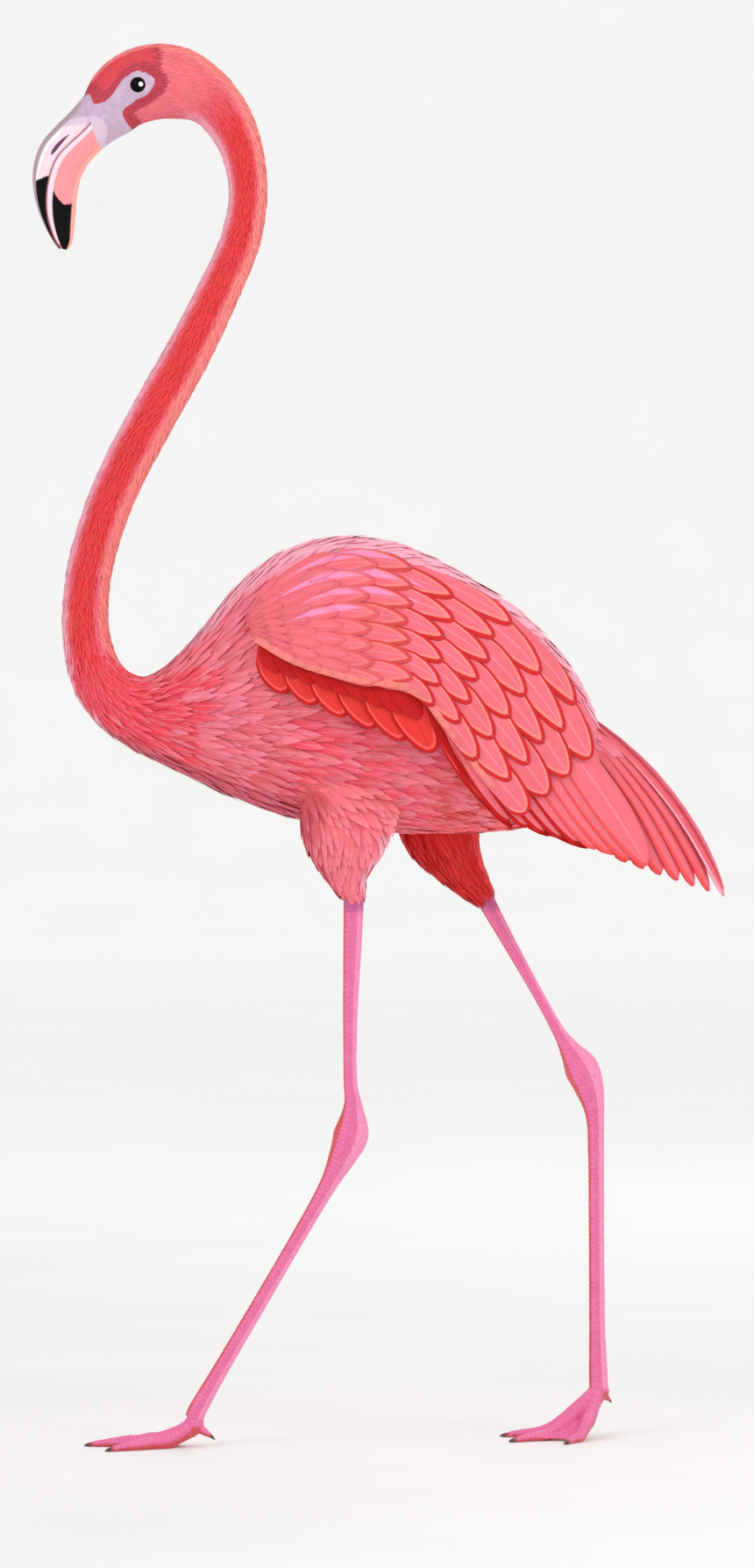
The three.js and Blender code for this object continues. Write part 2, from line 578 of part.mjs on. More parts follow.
// ---- tail --------------------------------------------------------------------------------------
// The curve that the tail's middle line follows, as places and directions in the mirror plane.
function tailPath(share, length, pitch) {
  const steps = 24;
  const at = new THREE.Vector3(TAIL_ROOT.x, 0, TAIL_ROOT.z);
  const heading = (s) => pitch + degrees(TAIL_PITCH[1]) * s;
  for (let i = 0; i < steps; i++) {
    const angle = heading((share * (i + 0.5)) / steps);
    const step = (share * length) / steps;
    at.add(new THREE.Vector3(Math.cos(angle) * step, 0, -Math.sin(angle) * step));
  }
  const angle = heading(share);
  return {
    at,
    ahead: new THREE.Vector3(Math.cos(angle), 0, -Math.sin(angle)),
    up: new THREE.Vector3(Math.sin(angle), 0, Math.cos(angle)),
  };
}

// The pairs lie like a steep roof, the middle pair on top, each next one further round.
function tailFeather(side, pair) {
  const share = pair / (TAIL_PAIRS - 1);
  const length = TAIL_LENGTH * (1 - TAIL_GRADE * share);
  let out = 3;
  let down = 0;
  let roll = degrees(24);
  for (let k = 0; k < pair; k++) {
    roll += degrees(12);
    out += TAIL_SPREAD * Math.cos(roll);
    down += TAIL_SPREAD * Math.sin(roll);
  }
  const face = (lift) =>
    TAIL_SHARES.map((s) => {
      const { at, up } = tailPath(s, length, degrees(TAIL_PITCH[0] + 6 * share));
      const open = mix(0.72, 1, s);
      const sideways = new THREE.Vector3(0, side, 0);
      const across = sideways.clone().multiplyScalar(Math.cos(roll)).addScaledVector(up, -Math.sin(roll));
      const normal = sideways.clone().multiplyScalar(Math.sin(roll)).addScaledVector(up, Math.cos(roll));
      const middle = at.addScaledVector(sideways, out * open).addScaledVector(up, -down * open);
      const half = (TAIL_WIDTH * vaneWidth(s, 0.3)) / 2;
      return [-1, 0, 1].map((w) =>
        middle
          .clone()
          .addScaledVector(across, w * half)
          .addScaledVector(normal, (w === 0 ? 0.7 : 0) + w * -0.9 + lift + (side > 0 ? 0.4 : 0) * (1 - share)),
      );
    });
  return slab(face(0.45), face(-0.45));
}

// The fleshy root that carries the tail feathers, behind the rump.
function tailRoot() {
  return loft(
    TAIL_FLESH.map((f) => {
      const { at, up } = tailPath(f.share, TAIL_LENGTH, degrees(TAIL_PITCH[0]));
      return Array.from({ length: 16 }, (_, i) => {
        const angle = (2 * Math.PI * i) / 16;
        const rise = Math.cos(angle) * f.half - f.sink;
        return at.clone().addScaledVector(up, rise).add(new THREE.Vector3(0, Math.sin(angle) * f.width, 0));
      });
    }),
  );
}

const tailFeathers = [-1, 1].flatMap((side) =>
  Array.from({ length: TAIL_PAIRS }, (_, pair) => tailFeather(side, pair)),
);
addNode("tail", union([tailRoot(), ...tailFeathers]).subtract(torsoGrown), WING_PLUMAGE);

// ---- legs --------------------------------------------------------------------------------------
// A ring square to a leg's path. Stations are [x, y, z, half depth, half width].
function legRing(stations, share, sides, shift = 0, grow = 0) {
  const path = new THREE.CatmullRomCurve3(
    stations.map((s) => new THREE.Vector3(s[0], s[1], s[2])), false, "catmullrom", 0.5,
  );
  const sizes = new THREE.SplineCurve(stations.map((s) => new THREE.Vector2(s[3], s[4])));
  const centre = path.getPoint(share);
  const along = path.getTangent(share);
  const front = new THREE.Vector3(0, 1, 0).cross(along).normalize();
  const across = along.clone().cross(front);
  const size = sizes.getPoint(share);
  return Array.from({ length: sides }, (_, i) => {
    const angle = (2 * Math.PI * i) / sides;
    return centre
      .clone()
      .addScaledVector(front, Math.cos(angle) * (size.x + grow))
      .addScaledVector(across, Math.sin(angle) * (size.y + grow))
      .addScaledVector(along, shift);
  });
}

function legLength(stations, from, to, steps, sides, grow = 0) {
  const rings = [];
  for (let i = 0; i <= steps; i++) {
    const shift = i === 0 ? SEAM / 2 - grow : i === steps ? grow - SEAM / 2 : 0;
    rings.push(legRing(stations, mix(from, to, i / steps), sides, shift, grow));
  }
  return loft(rings);
}

// ---- feet --------------------------------------------------------------------------------------
// The point on a toe's middle line at a share of its length.
function toePoint(foot, toe, share) {
  const heading = degrees(foot.heading + toe.turn * foot.mirror);
  const reach = toe.length * share;
  const heights = new THREE.SplineCurve(
    TOE_SHARES.map((s, i) => new THREE.Vector2(s, foot.heights[i])),
  );
  let t = share;
  for (let i = 0; i + 1 < TOE_SHARES.length; i++) {
    if (share >= TOE_SHARES[i] && share <= TOE_SHARES[i + 1]) {
      t = (i + (share - TOE_SHARES[i]) / (TOE_SHARES[i + 1] - TOE_SHARES[i])) / (TOE_SHARES.length - 1);
    }
  }
  return new THREE.Vector3(
    foot.knuckle[0] - Math.cos(heading) * reach,
    foot.knuckle[1] - Math.sin(heading) * reach,
    heights.getPoint(t).y,
  );
}

// The size of a toe at a share of its length, with a slight swelling at each joint.
function toeSize(sizes, share) {
  const place = share * (sizes.length - 1);
  const i = Math.min(sizes.length - 2, Math.floor(place));
  const swelling = 1 + 0.05 * Math.cos(share * Math.PI * 6);
  return mix(sizes[i], sizes[i + 1], place - i) * swelling;
}

function toeRing(foot, toe, share, scale, shift) {
  const step = 0.02;
  const centre = toePoint(foot, toe, share);
  const along = toePoint(foot, toe, Math.min(1, share + step)).sub(toePoint(foot, toe, share - step));
  along.normalize();
  const across = new THREE.Vector3(0, 0, 1).cross(along).normalize();
  const up = along.clone().cross(across);
  return Array.from({ length: TOE_SIDES }, (_, i) => {
    const angle = (2 * Math.PI * (i + 0.5)) / TOE_SIDES;
    return centre
      .clone()
      .addScaledVector(up, Math.cos(angle) * toeSize(TOE_HALF_HEIGHT, share) * scale)
      .addScaledVector(across, Math.sin(angle) * toeSize(TOE_HALF_WIDTH, share) * scale)
      .addScaledVector(along, shift);
  });
}

function toeSolid(foot, toe) {
  const steps = 7;
  return loft(
    Array.from({ length: steps + 1 }, (_, i) =>
      toeRing(foot, toe, Math.max(0.02, i / steps), 1, i === steps ? -SEAM : 0),
    ),
  );
}

// The skin between two toes, with a hollow front edge.
function web(foot, toeA, toeB) {
  const [along, across] = [5, 4];
  const upper = [];
  const lower = [];
  for (let r = 0; r <= along; r++) {
    upper.push([]);
    lower.push([]);
    for (let c = 0; c <= across; c++) {
      const t = c / across;
      const reach = 0.94 - WEB_SCALLOP * Math.sin(Math.PI * t);
      const share = mix(0.08, reach, r / along);
      const at = toePoint(foot, toeA, share).lerp(toePoint(foot, toeB, share), t);
      const sink = 1.2 * Math.sin(Math.PI * t);
      upper[r].push(new THREE.Vector3(at.x, at.y, at.z - sink + WEB_THICKNESS / 2));
      lower[r].push(new THREE.Vector3(at.x, at.y, at.z - sink - WEB_THICKNESS / 2));
    }
  }
  return slab(upper, lower);
}

// The small hind toe, which clears the floor.
function halluxPath(foot) {
  const heading = degrees(foot.heading - 24 * foot.mirror);
  const back = new THREE.Vector3(Math.cos(heading), Math.sin(heading), -0.55).normalize();
  const root = new THREE.Vector3(...foot.knuckle).addScaledVector(back, 4);
  return { root, back };
}

function halluxRing(foot, distance, radius) {
  const { root, back } = halluxPath(foot);
  const across = new THREE.Vector3(0, 0, 1).cross(back).normalize();
  const up = back.clone().cross(across);
  return Array.from({ length: 8 }, (_, i) => {
    const angle = (2 * Math.PI * i) / 8;
    return root
      .clone()
      .addScaledVector(back, distance)
      .addScaledVector(up, Math.cos(angle) * radius)
      .addScaledVector(across, Math.sin(angle) * radius);
  });
}

const aboveFloor = solidOf(new THREE.BoxGeometry(2000, 2000, 2000).translate(0, 0, 1000));

for (const [name, foot] of Object.entries(FEET)) {
  foot.mirror = name === "left" ? 1 : -1;
  const thigh = name === "left" ? THIGH_LEFT : THIGH_RIGHT;
  const shankGrown = legLength(foot.leg, 0, ANKLE_CUT, 11, LEG_SIDES, SEAM);
  addNode(`thigh_${name}`, legLength(thigh, 0, 1, 8, 16).subtract(torsoGrown).subtract(shankGrown), PLUMAGE);
  addNode(`shank_${name}`, legLength(foot.leg, 0, ANKLE_CUT, 11, LEG_SIDES), LEG_SKIN);
  addNode(`tarsus_${name}`, legLength(foot.leg, ANKLE_CUT, FOOT_CUT, 8, LEG_SIDES), LEG_SKIN);

  const stub = legLength(foot.leg, FOOT_CUT, 1, 1, LEG_SIDES);
  const knuckle = ball(...foot.knuckle, 9.6, 6);
  const toes = TOES.map((toe) => toeSolid(foot, toe));
  const webs = [web(foot, TOES[0], TOES[1]), web(foot, TOES[1], TOES[2])];
  const hallux = loft([
    halluxRing(foot, 0, HALLUX.radius * 1.25),
    halluxRing(foot, HALLUX.length * 0.6, HALLUX.radius),
    halluxRing(foot, HALLUX.length, HALLUX.radius * 0.62),
  ]);
  addNode(`foot_${name}`, union([stub, knuckle, ...toes, ...webs, hallux]).intersect(aboveFloor), LEG_SKIN);

  for (const toe of TOES) {
    const clawRings = [0, 0.45, 0.8, 1].map((share, i) => {
      const ring = toeRing(foot, toe, 1, [0.86, 0.66, 0.38, 0.12][i], CLAW_LENGTH * share);
      return ring.map((p) => p.add(new THREE.Vector3(0, 0, -0.7 * share)));
    });
    addNode(`claw_${name}_${toe.name}`, loft(clawRings).intersect(aboveFloor), CLAW_HORN);
  }
  const hindClaw = [0, 0.5, 1].map((share, i) =>
    halluxRing(foot, HALLUX.length + SEAM + 5 * share, HALLUX.radius * [0.5, 0.34, 0.1][i]),
  );
  addNode(`claw_${name}_hind`, loft(hindClaw), CLAW_HORN);
}

export default group;
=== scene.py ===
"""A life-size American flamingo in mid stride: feathers, skin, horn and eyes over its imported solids.

Lengths in the tables are millimetres, in the frame of the solids: +Z up, the bird looks along -X.
"""

import math

import bmesh
import bpy
import numpy as np
from bpy.props import FloatProperty, FloatVectorProperty, IntProperty, PointerProperty
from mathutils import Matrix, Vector
from mathutils.bvhtree import BVHTree
from mathutils.kdtree import KDTree


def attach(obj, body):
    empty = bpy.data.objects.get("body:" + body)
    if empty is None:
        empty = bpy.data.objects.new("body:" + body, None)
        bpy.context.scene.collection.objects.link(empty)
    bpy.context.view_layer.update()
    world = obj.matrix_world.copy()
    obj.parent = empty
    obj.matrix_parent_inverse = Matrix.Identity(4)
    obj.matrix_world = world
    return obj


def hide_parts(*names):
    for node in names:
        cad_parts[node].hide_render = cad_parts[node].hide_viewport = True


bl_info = {
    "name": "Flamingo",
    "version": (1, 0, 0),
    "blender": (4, 5, 0),
    "location": "View3D > Sidebar > Flamingo",
    "description": "Feathers, skin and horn for a life-size flamingo",
    "category": "Object",
}

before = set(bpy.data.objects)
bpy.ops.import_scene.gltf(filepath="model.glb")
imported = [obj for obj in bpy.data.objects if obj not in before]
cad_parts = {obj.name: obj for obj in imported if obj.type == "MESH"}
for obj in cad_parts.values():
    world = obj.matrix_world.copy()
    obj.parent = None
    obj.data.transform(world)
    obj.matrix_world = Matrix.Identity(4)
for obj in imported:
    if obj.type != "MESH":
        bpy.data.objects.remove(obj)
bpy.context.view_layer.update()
MM = 0.001
SIDES = {"left": -1, "right": 1}

# ---- named stations, as in the solids ------------------------------------------------------------
# The long body from bill base to vent: dorsal x z, ventral x z, half width, egg, coat depth.
BODY = np.array([
    (-271, 1243, -254, 1194, 15.5, 0.05, 0.4),  # bill base
    (-261, 1263, -243, 1202, 19, 0.05, 0.9),  # face
    (-245, 1279, -230, 1209, 22.5, 0, 1.5),  # brow
    (-222, 1290, -217, 1216, 24.5, -0.04, 1.9),  # eye
    (-195, 1293, -201, 1220, 25.5, -0.06, 2.3),  # crown
    (-167, 1286, -185, 1220, 24.5, -0.04, 2.6),  # nape
    (-139, 1265, -168, 1217, 22.5, 0, 2.8),  # neck top
    (-117, 1235, -152, 1199, 21, 0, 2.8),  # neck arch
    (-104, 1199, -143, 1179, 19.5, 0, 2.8),  # neck back
    (-99, 1158, -139, 1153, 19, 0, 2.8),  # neck drop
    (-103, 1118, -143, 1127, 19, 0, 2.8),  # neck lean
    (-115, 1080, -154, 1096, 19.5, 0, 2.8),  # neck upper
    (-151, 1000, -193, 1021, 21.5, 0, 3),  # neck middle
    (-187, 934, -230, 956, 23, 0, 3.2),  # neck lower
    (-220, 870, -264, 889, 23, 0, 3.4),  # neck curve
    (-240, 811, -287, 819, 23.5, 0, 3.6),  # neck bend
    (-245, 763, -294, 760, 24.5, 0, 3.8),  # neck foot
    (-239, 731, -289, 712, 26.5, 0, 4),  # neck base
    (-226, 713, -275, 678, 30, 0, 4.4),  # throat bend
    (-206, 710, -249, 650, 37, 0.03, 5),  # crop
    (-184, 729, -212, 628, 48, 0.06, 6),  # breast
    (-158, 761, -168, 606, 63, 0.1, 7),  # shoulder
    (-126, 801, -126, 586, 77, 0.1, 7.5),  # wing root
    (-84, 831, -81, 571, 86, 0.08, 7.5),  # back rise
    (-32, 843, -34, 561, 89, 0.06, 7.5),  # back top
    (24, 835, 8, 557, 88, 0.04, 7.5),  # mid back
    (81, 808, 48, 556, 82, 0.02, 7.5),  # loin
    (130, 775, 88, 557, 73, 0, 7),  # hip
    (166, 739, 126, 561, 60, 0, 6.5),  # rump
    (193, 697, 158, 568, 45, 0, 6),  # lower rump
    (205, 658, 183, 578, 31, 0, 5),  # tail root
    (207, 628, 199, 596, 15, 0, 4),  # vent
], float)
NECK_TOP, NECK_MIDDLE, NECK_BASE, THROAT, SHOULDER, VENT = 6, 12, 17, 18, 21, 31

EYE_SEAT = {"x": -220, "y": 18.3, "z": 1251, "radius": 9.2, "rim": 6.75}
# An eyelid cut across, from the skin round the eye over its folds to the rim and back underneath:
# reach from the eye's middle, share of the way from the skin's height to the rim's, height over that.
LID_SECTION = np.array([
    (12.6, 0, -0.9), (12.2, 0, -0.2), (11.6, 0.03, 0.1), (10.9, 0.1, 0.28), (10.3, 0.22, 0.08),
    (9.8, 0.34, 0.3), (9.1, 0.5, 0.4), (8.6, 0.66, 0.16), (8.1, 0.82, 0.34), (7.5, 0.95, 0.3), (7.15, 1, 0.1),
    (6.92, 1, -0.15),
    (6.85, 1, -0.45), (7, 1, -0.95), (7.6, 1, -1.9), (9.5, 0.3, -1.8), (11.8, 0, -1.6),
], float)
# The edge of the bare face seen from the side, x z. It runs on round the bill base.
FACE_EDGE = np.array([
    (-269, 1243), (-260, 1234), (-245.5, 1240), (-233, 1257), (-219, 1264), (-204.5, 1256), (-209.5, 1245),
    (-226.5, 1233.5), (-234.5, 1226), (-230.5, 1217), (-224, 1208), (-230, 1196), (-262, 1180), (-305, 1210),
], float)
# The lighter skin round the gape, in front of the bare face.
GAPE_EDGE = np.array([
    (-280, 1221.5), (-265, 1223), (-256.5, 1222), (-250.5, 1216.5), (-248.5, 1208), (-250.5, 1199),
    (-254, 1188), (-300, 1185),
], float)
BROW_EDGE = np.array([
    (-276, 1240), (-268, 1262), (-256, 1279), (-240, 1289), (-222, 1295), (-207, 1285), (-203, 1272),
    (-209, 1262), (-219, 1266), (-233, 1259), (-246, 1242), (-260, 1236),
], float)

# The bill from base to tip: culmen x z, mouth x z, keel x z, half width above and below.
BILL = np.array([
    (-271, 1243, -262.3, 1217, -254, 1194, 13.4, 14.8),
    (-283, 1229, -272, 1207, -261, 1187, 13.3, 15.2),
    (-296, 1216, -283, 1197, -268, 1178, 13, 15.2),
    (-309, 1201, -294, 1185, -273.5, 1167, 12.4, 14.8),
    (-316, 1184, -301, 1168, -276.5, 1153, 11.4, 13.8),
    (-318, 1164, -304, 1149, -278, 1138, 9.8, 12),
    (-314, 1141, -303, 1131, -279.5, 1121, 7.8, 9.8),
    (-305, 1119, -298, 1114, -281.5, 1108, 5.4, 7.2),
    (-295, 1103, -292, 1102.5, -286, 1101, 2.4, 3.4),
], float)
COMB_PLATE = (3.0, 3.0, 1.05)
NOSTRIL = {"x": -292.5, "z": 1197.5, "length": 28, "width": 3.2, "depth": 2.6, "lean": 48}

# The folded wing's form: x, top, mid, half width. Then its upper and lower edge, x z.
WING_FORM = np.array([
    (-130, 800, 694, 81), (-85, 832, 701, 95), (-32, 844, 702, 102), (20, 838, 694, 102), (81, 811, 678, 96),
    (130, 779, 655, 86), (166, 745, 632, 76), (193, 706, 610, 66), (215, 672, 588, 58), (260, 630, 552, 46),
    (330, 560, 490, 34),
], float)
WING_TOP = np.array([
    (-119, 766), (-92, 796), (-32, 820), (38, 806), (112, 768), (164, 715), (200, 656),
], float)
WING_BOTTOM = np.array([
    (-115, 742), (-74, 718), (-20, 702), (32, 692), (64, 658), (94, 618), (126, 583),
], float)
WING_TUCK = 0.3
WING_BED = {"root": 22, "tip": 3.5}  # thickness of the arm and its skin
LINING_GAP = 5.5
# Tiers of coverts: tip along the wing, feathers across it, length along it, lift of the tip, outline.
COVERT_TIERS = [
    (0.10, 10, 0.13, 1.2, 0), (0.17, 10, 0.14, 1.4, 0), (0.245, 9, 0.15, 1.6, 0), (0.32, 9, 0.16, 1.8, 0.15),
    (0.40, 8, 0.17, 2.0, 0.45), (0.49, 7, 0.19, 2.2, 0.75), (0.585, 6, 0.21, 2.5, 1), (0.69, 6, 0.23, 2.7, 1),
    (0.80, 5, 0.25, 2.9, 1), (0.92, 5, 0.27, 3.1, 1), (1.04, 4, 0.28, 3.2, 1),
]
FLIGHT_ROOTS = np.array([(52, 664), (150, 676)], float)
FLIGHT_TIPS = np.array([(121, 573), (248, 533)], float)
FLIGHT_RISE = np.array([6.0, 16.0])
UNDER_ROOTS = np.array([(-102, 746), (16, 722)], float)
UNDER_TIPS = np.array([(-84, 690), (52, 636)], float)
# Slivers of dark red along the wing's lower edge, painted shade under it: root x z and tip x z.
SLIVERS = np.array([
    (48, 680, 102, 586), (64, 651, 124, 566), (92, 624, 158, 559), (126, 601, 194, 548),
], float)
COVERT_ROWS = [0, 0.2, 0.4, 0.56, 0.7, 0.8, 0.88, 0.94, 0.98, 1]
FLIGHT_COUNT = 9
MARGINAL_COUNT = 26
# Painted highlight streaks over the shoulder: three places on each one's middle line, x z, and its half
# width.
STREAKS = [
    ((-98, 786), (-35, 816), (79, 788), 3.9), ((-105, 767), (-24, 801), (60, 778), 4.3),
    ((-77, 768), (-21, 785), (52, 766), 3.6), ((-88, 752), (-35, 768), (-3, 767), 3.2),
]

TAIL_ROOT = (189, 672)
TAIL_PITCH = (34, 36)  # degrees down at the root, and more by the tip
TAIL_LENGTH = 216
TAIL_PAIRS = 7
# From the middle pair to the outer one: how far out and down a tail feather lies.
TAIL_OUT = [3, 13.5, 22.2, 28.7, 32.7]
TAIL_DOWN = [0, 7.6, 17.3, 28.6, 41]
TAIL_ROLL = (24, 48)
TAIL_VANE_WIDTH = 25
TAIL_FLESH = np.array([
    (0, 30, 24, 26), (0.16, 27, 23, 25), (0.3, 21, 19, 22), (0.42, 12, 12, 17), (0.5, 4, 5, 13),
], float)  # share of the tail's length, half height, half width, sink

# Thighs and legs: x, y, z, half depth, half width.
THIGHS = {
    "left": np.array([
        (-28, -40, 636, 38, 20), (-29, -42, 596, 45, 24), (-29, -43, 566, 44, 26), (-29, -44, 546, 36, 23),
        (-28, -44.5, 526, 23, 17), (-21, -44, 506, 12, 11.5),
    ], float),
    "right": np.array([
        (40, 41, 632, 36, 20), (50, 43, 594, 41, 25), (58, 45, 566, 40, 26), (67, 46, 547, 32, 23),
        (80, 46.5, 526, 23, 17), (99, 46, 503, 12.5, 11.5),
    ], float),
}
LEGS = {
    "left": np.array([
        (-21, -44, 514, 9.6, 9.4), (-22.5, -43.5, 460, 8.6, 8.2), (-24.5, -42.5, 396, 6.8, 6.6),
        (-24.5, -41.5, 338, 6.3, 6.2), (-22, -41, 314, 8.6, 7.6), (-23.5, -40.5, 288, 16.2, 11),
        (-31, -40.3, 268, 13.2, 10.6), (-44, -40, 242, 8.4, 7.6), (-65, -39.6, 205, 6.9, 6),
        (-107, -39, 133, 6.9, 5.8), (-144, -38.5, 70, 7.4, 6), (-163, -38, 37, 8.6, 7.2),
        (-168, -38, 26, 8.8, 7.4),
    ], float),
    "right": np.array([
        (94.5, 46, 512, 9, 9.2), (121, 46.5, 464, 6.6, 7.2), (149, 47, 414, 5.2, 6.2),
        (169, 47.5, 378, 6, 6.4), (179.5, 48, 361, 10, 8.2), (190, 48, 344, 16, 11),
        (198, 48.5, 324, 13.6, 10.4), (203, 49, 299, 8.8, 7.6), (204, 49.4, 262, 7.6, 6),
        (204.5, 50, 180, 7.4, 5.8), (205, 50.5, 104, 7.6, 6), (206, 51, 62, 8.8, 7.2),
        (206.5, 51, 46, 9, 7.4),
    ], float),
}
# The feet: knuckle, turn of the middle toe in degrees, heights of a toe's middle line, mirror.
FEET = {
    "left": {
        "knuckle": (-168, -38, 20), "heading": 0, "heights": (18, 12.5, 6.2, 5.1, 3.8, 2.4), "mirror": 1,
    },
    "right": {
        "knuckle": (207, 51, 43), "heading": 32, "heights": (41, 33, 18, 5.1, 3.8, 2.4), "mirror": -1,
    },
}
TOE_SHARES = np.array([0, 0.14, 0.34, 0.62, 0.84, 1])
TOES = {"outer": (31, 85), "middle": (0, 93), "inner": (-33, 74)}
TOE_HALF_HEIGHT = np.array([8.4, 7.8, 6.8, 5.8, 4.6, 2.6])
TOE_HALF_WIDTH = np.array([6.5, 6.2, 5.8, 5.6, 4.8, 2.8])
WEB_SCALLOP = 0.26
WEB_HALF_THICKNESS = 0.95
HALLUX = {"length": 15, "radius": 3.6}
CLAW_LENGTH = 8
SCUTE_LENGTH = 4.6
LEG_VOXEL = 1.05

# Station, row gap, gap across, feather length, width, lift.
COAT_SIZES = np.array([
    (0, 2.2, 1.5, 5.5, 2.3, 0.8), (3, 2.5, 1.7, 7, 2.6, 1.1), (6, 3, 2.1, 9.5, 3.2, 1.15),
    (16, 3.6, 2.5, 12, 3.9, 1.45), (18, 4.6, 3.5, 19, 5.6, 2.1), (20, 6.2, 5, 33, 9.5, 2.8),
    (23, 7.6, 6.2, 46, 12.5, 3.3), (29, 7.6, 6.2, 41, 12.5, 3.3), (31, 6, 5.4, 26, 9, 2.5),
], float)
# The long body's coat in its pieces: name, first and last station, kind of feather, slot.
COATS = (
    ("head_feathers", 0, NECK_TOP, "short", "plumage"),
    ("upper_neck_feathers", NECK_TOP, NECK_MIDDLE, "short", "neck_plumage"),
    ("lower_neck_feathers", NECK_MIDDLE, NECK_BASE, "short", "neck_plumage"),
    ("breast_feathers", NECK_BASE, SHOULDER, "breast", "plumage"),
    ("body_feathers", SHOULDER, VENT, "body", "plumage"),
)
# Kinds of feather: places along one, the round share of its tip, how far it is drawn out, its curl.
VANES = {
    "short": ([0, 0.45, 0.86], 0.75, 0.3, 0.3),
    "breast": ([0, 0.24, 0.48, 0.72, 0.9], 0.62, 0.4, 0.4),
    "body": ([0, 0.24, 0.48, 0.72, 0.9], 0.62, 0.3, 0.4),
    "thigh": ([0, 0.3, 0.6, 0.88], 0.65, 0.35, 0.35),
    "tail_covert": ([0, 0.2, 0.42, 0.64, 0.84, 0.95], 0.5, 0.3, 0.45),
    "lining": ([0, 0.3, 0.6, 0.88], 0.62, 0.3, 0.4),
}
VANE_ARCH = 0.04
VANE_THICKNESS = 0.07
VANE_SINK = 0.22  # how far a feather's root lies under the skin, as a share of its lift
BAKE_PATCH = 0.003  # width of one feather in its piece's OFBake map
COAT_UNDER_WING = 32  # how far the coat runs on under the wing, in mm
BACK_STRIP = 30  # half width of the strip along the back and belly that is always covered
THIGH_GAP = 5.6  # between the feathers of a row
THIGH_FLOW = (0.98, 0, -0.2)  # the way the upper thigh's feathers are drawn
TAIL_COVERT_GAP = 9
TAIL_COVERT_SINK = 4
# Looks of feathers: barbs along one, depth of its relief in metres, its inner line, its shaft, painted
# highlight streaks.
FEATHER_LOOKS = {
    "body_feathers": (14, 0.00002),
    "thigh_feathers": (14, 0.00002, None, "salmon"),
    "wing_feathers": (26, 0.00012, "salmon", "pale", True),
    "tail_feathers": (26, 0.00012, "salmon"),
    "under_covert_feathers": (22, 0.00012, "bright_red", "deep_red"),
}

# The stage in metres: the floor's flat radius, its upward turn and the wall above; lamps with their
# place, width and power; the camera.
STAGE = {"flat": 18, "turn": 4, "wall": 7}
LAMPS = (
    ("key", (-2.6, -3.6, 3.6), 2.6, 58), ("fill", (2.3, -1.8, 2.45), 1.2, 26),
    ("back", (1.5, 3.4, 3.2), 2.4, 34),
)
LAMPS_AIM = (0, 0, 0.7)
GLINT = ("eye_glint", (0.3, -0.75, 1.42), 0.9, 480)
GLINT_AIM = (-0.22, -0.02, 1.25)
AIR_STRENGTH = 0.68
CAMERA = {"place": (0, -6, 0.608), "lens": 149.2, "sensor": 36, "reach": 200}


def rgb(code):
    """A colour code such as 0xF6727F as the linear numbers that Blender keeps."""
    parts = [(code >> shift & 255) / 255 for shift in (16, 8, 0)]
    return tuple(v / 12.92 if v <= 0.04045 else ((v + 0.055) / 1.055) ** 2.4 for v in parts)


COLOURS = {
    "coral": (0xF6727F, "Body and wing feathers"),
    "pale": (0xFCADC0, "Back, throat and feather edges"),
    "salmon": (0xFF8A83, "Nape and the line inside a covert's edge"),
    # The neck's red sides, with the salmon nape and the pale throat, are painted shading of the round neck.
    "neck_red": (0xE62D2F, "Sides of the neck"),
    "lappet": (0xE8606C, "Darker feathers of the breast"),
    "collar": (0xF04452, "Feathers at the foot of the neck"),
    "blush": (0xF07384, "Lighter feathers of the breast"),
    "belly_rose": (0xF64F64, "Feathers of the belly"),
    # The brick red of the flank is painted shade, on scattered feathers low on the rear belly.
    "belly_brick": (0xE64E4E, "Feathers of the flank"),
    "shade": (0xD04A58, "Under edge of the breast"),
    "brow": (0xE6424C, "Patch over the brow"),
    "face_line": (0xC53A4A, "Feathers round the bare face"),
    "lilac": (0xC8ADC6, "Bare skin of the face"),
    "bill_base": (0xDFC7DD, "Bill where it meets the face"),
    "bill_pale": (0xF9DCE8, "Upper half of the bill"),
    "culmen": (0xB59BA3, "Ridge of the bill"),
    "bill_rose": (0xF99C9F, "Lower half of the bill"),
    "keel": (0xFFB3A6, "Lower edge of the bill"),
    "bill_tip": (0x0A090B, "Tip of the bill"),
    "comb": (0xB0454C, "Comb along the mouth"),
    # The covert outline's red also paints a thigh's inner side, as painted shade.
    "rim_red": (0xD92B2C, "Outline of a covert"),
    # The deep red is painted shade between flight feathers, under the wing's lower edge and on a thigh's
    # inner front; it is also the under coverts' shafts, outlines and second layer.
    "deep_red": (0xC91A1C, "Gaps between flight feathers"),
    "under_red": (0xE73935, "Coverts under the wing"),
    "bright_red": (0xFF5A5A, "Shafts and the belly's rear edge"),
    # The light pink is a painted highlight on the shoulder's streaks, down a leg's back and over a foot's
    # top, and it lightens random blotches on the legs.
    "highlight_and_blotch_pink": (0xFF97C4, "Streaks over the shoulder and light edge of a leg"),
    "leg": (0xEE70A6, "Skin of the legs"),
    # The legs' darker red is painted shade down their front, under the feet and at the top of each leg; on
    # the claws it is their own reddish base.
    "leg_edge": (0xD95050, "Front edge of the legs"),
    "claw": (0x5A2C3A, "Claws"),
}
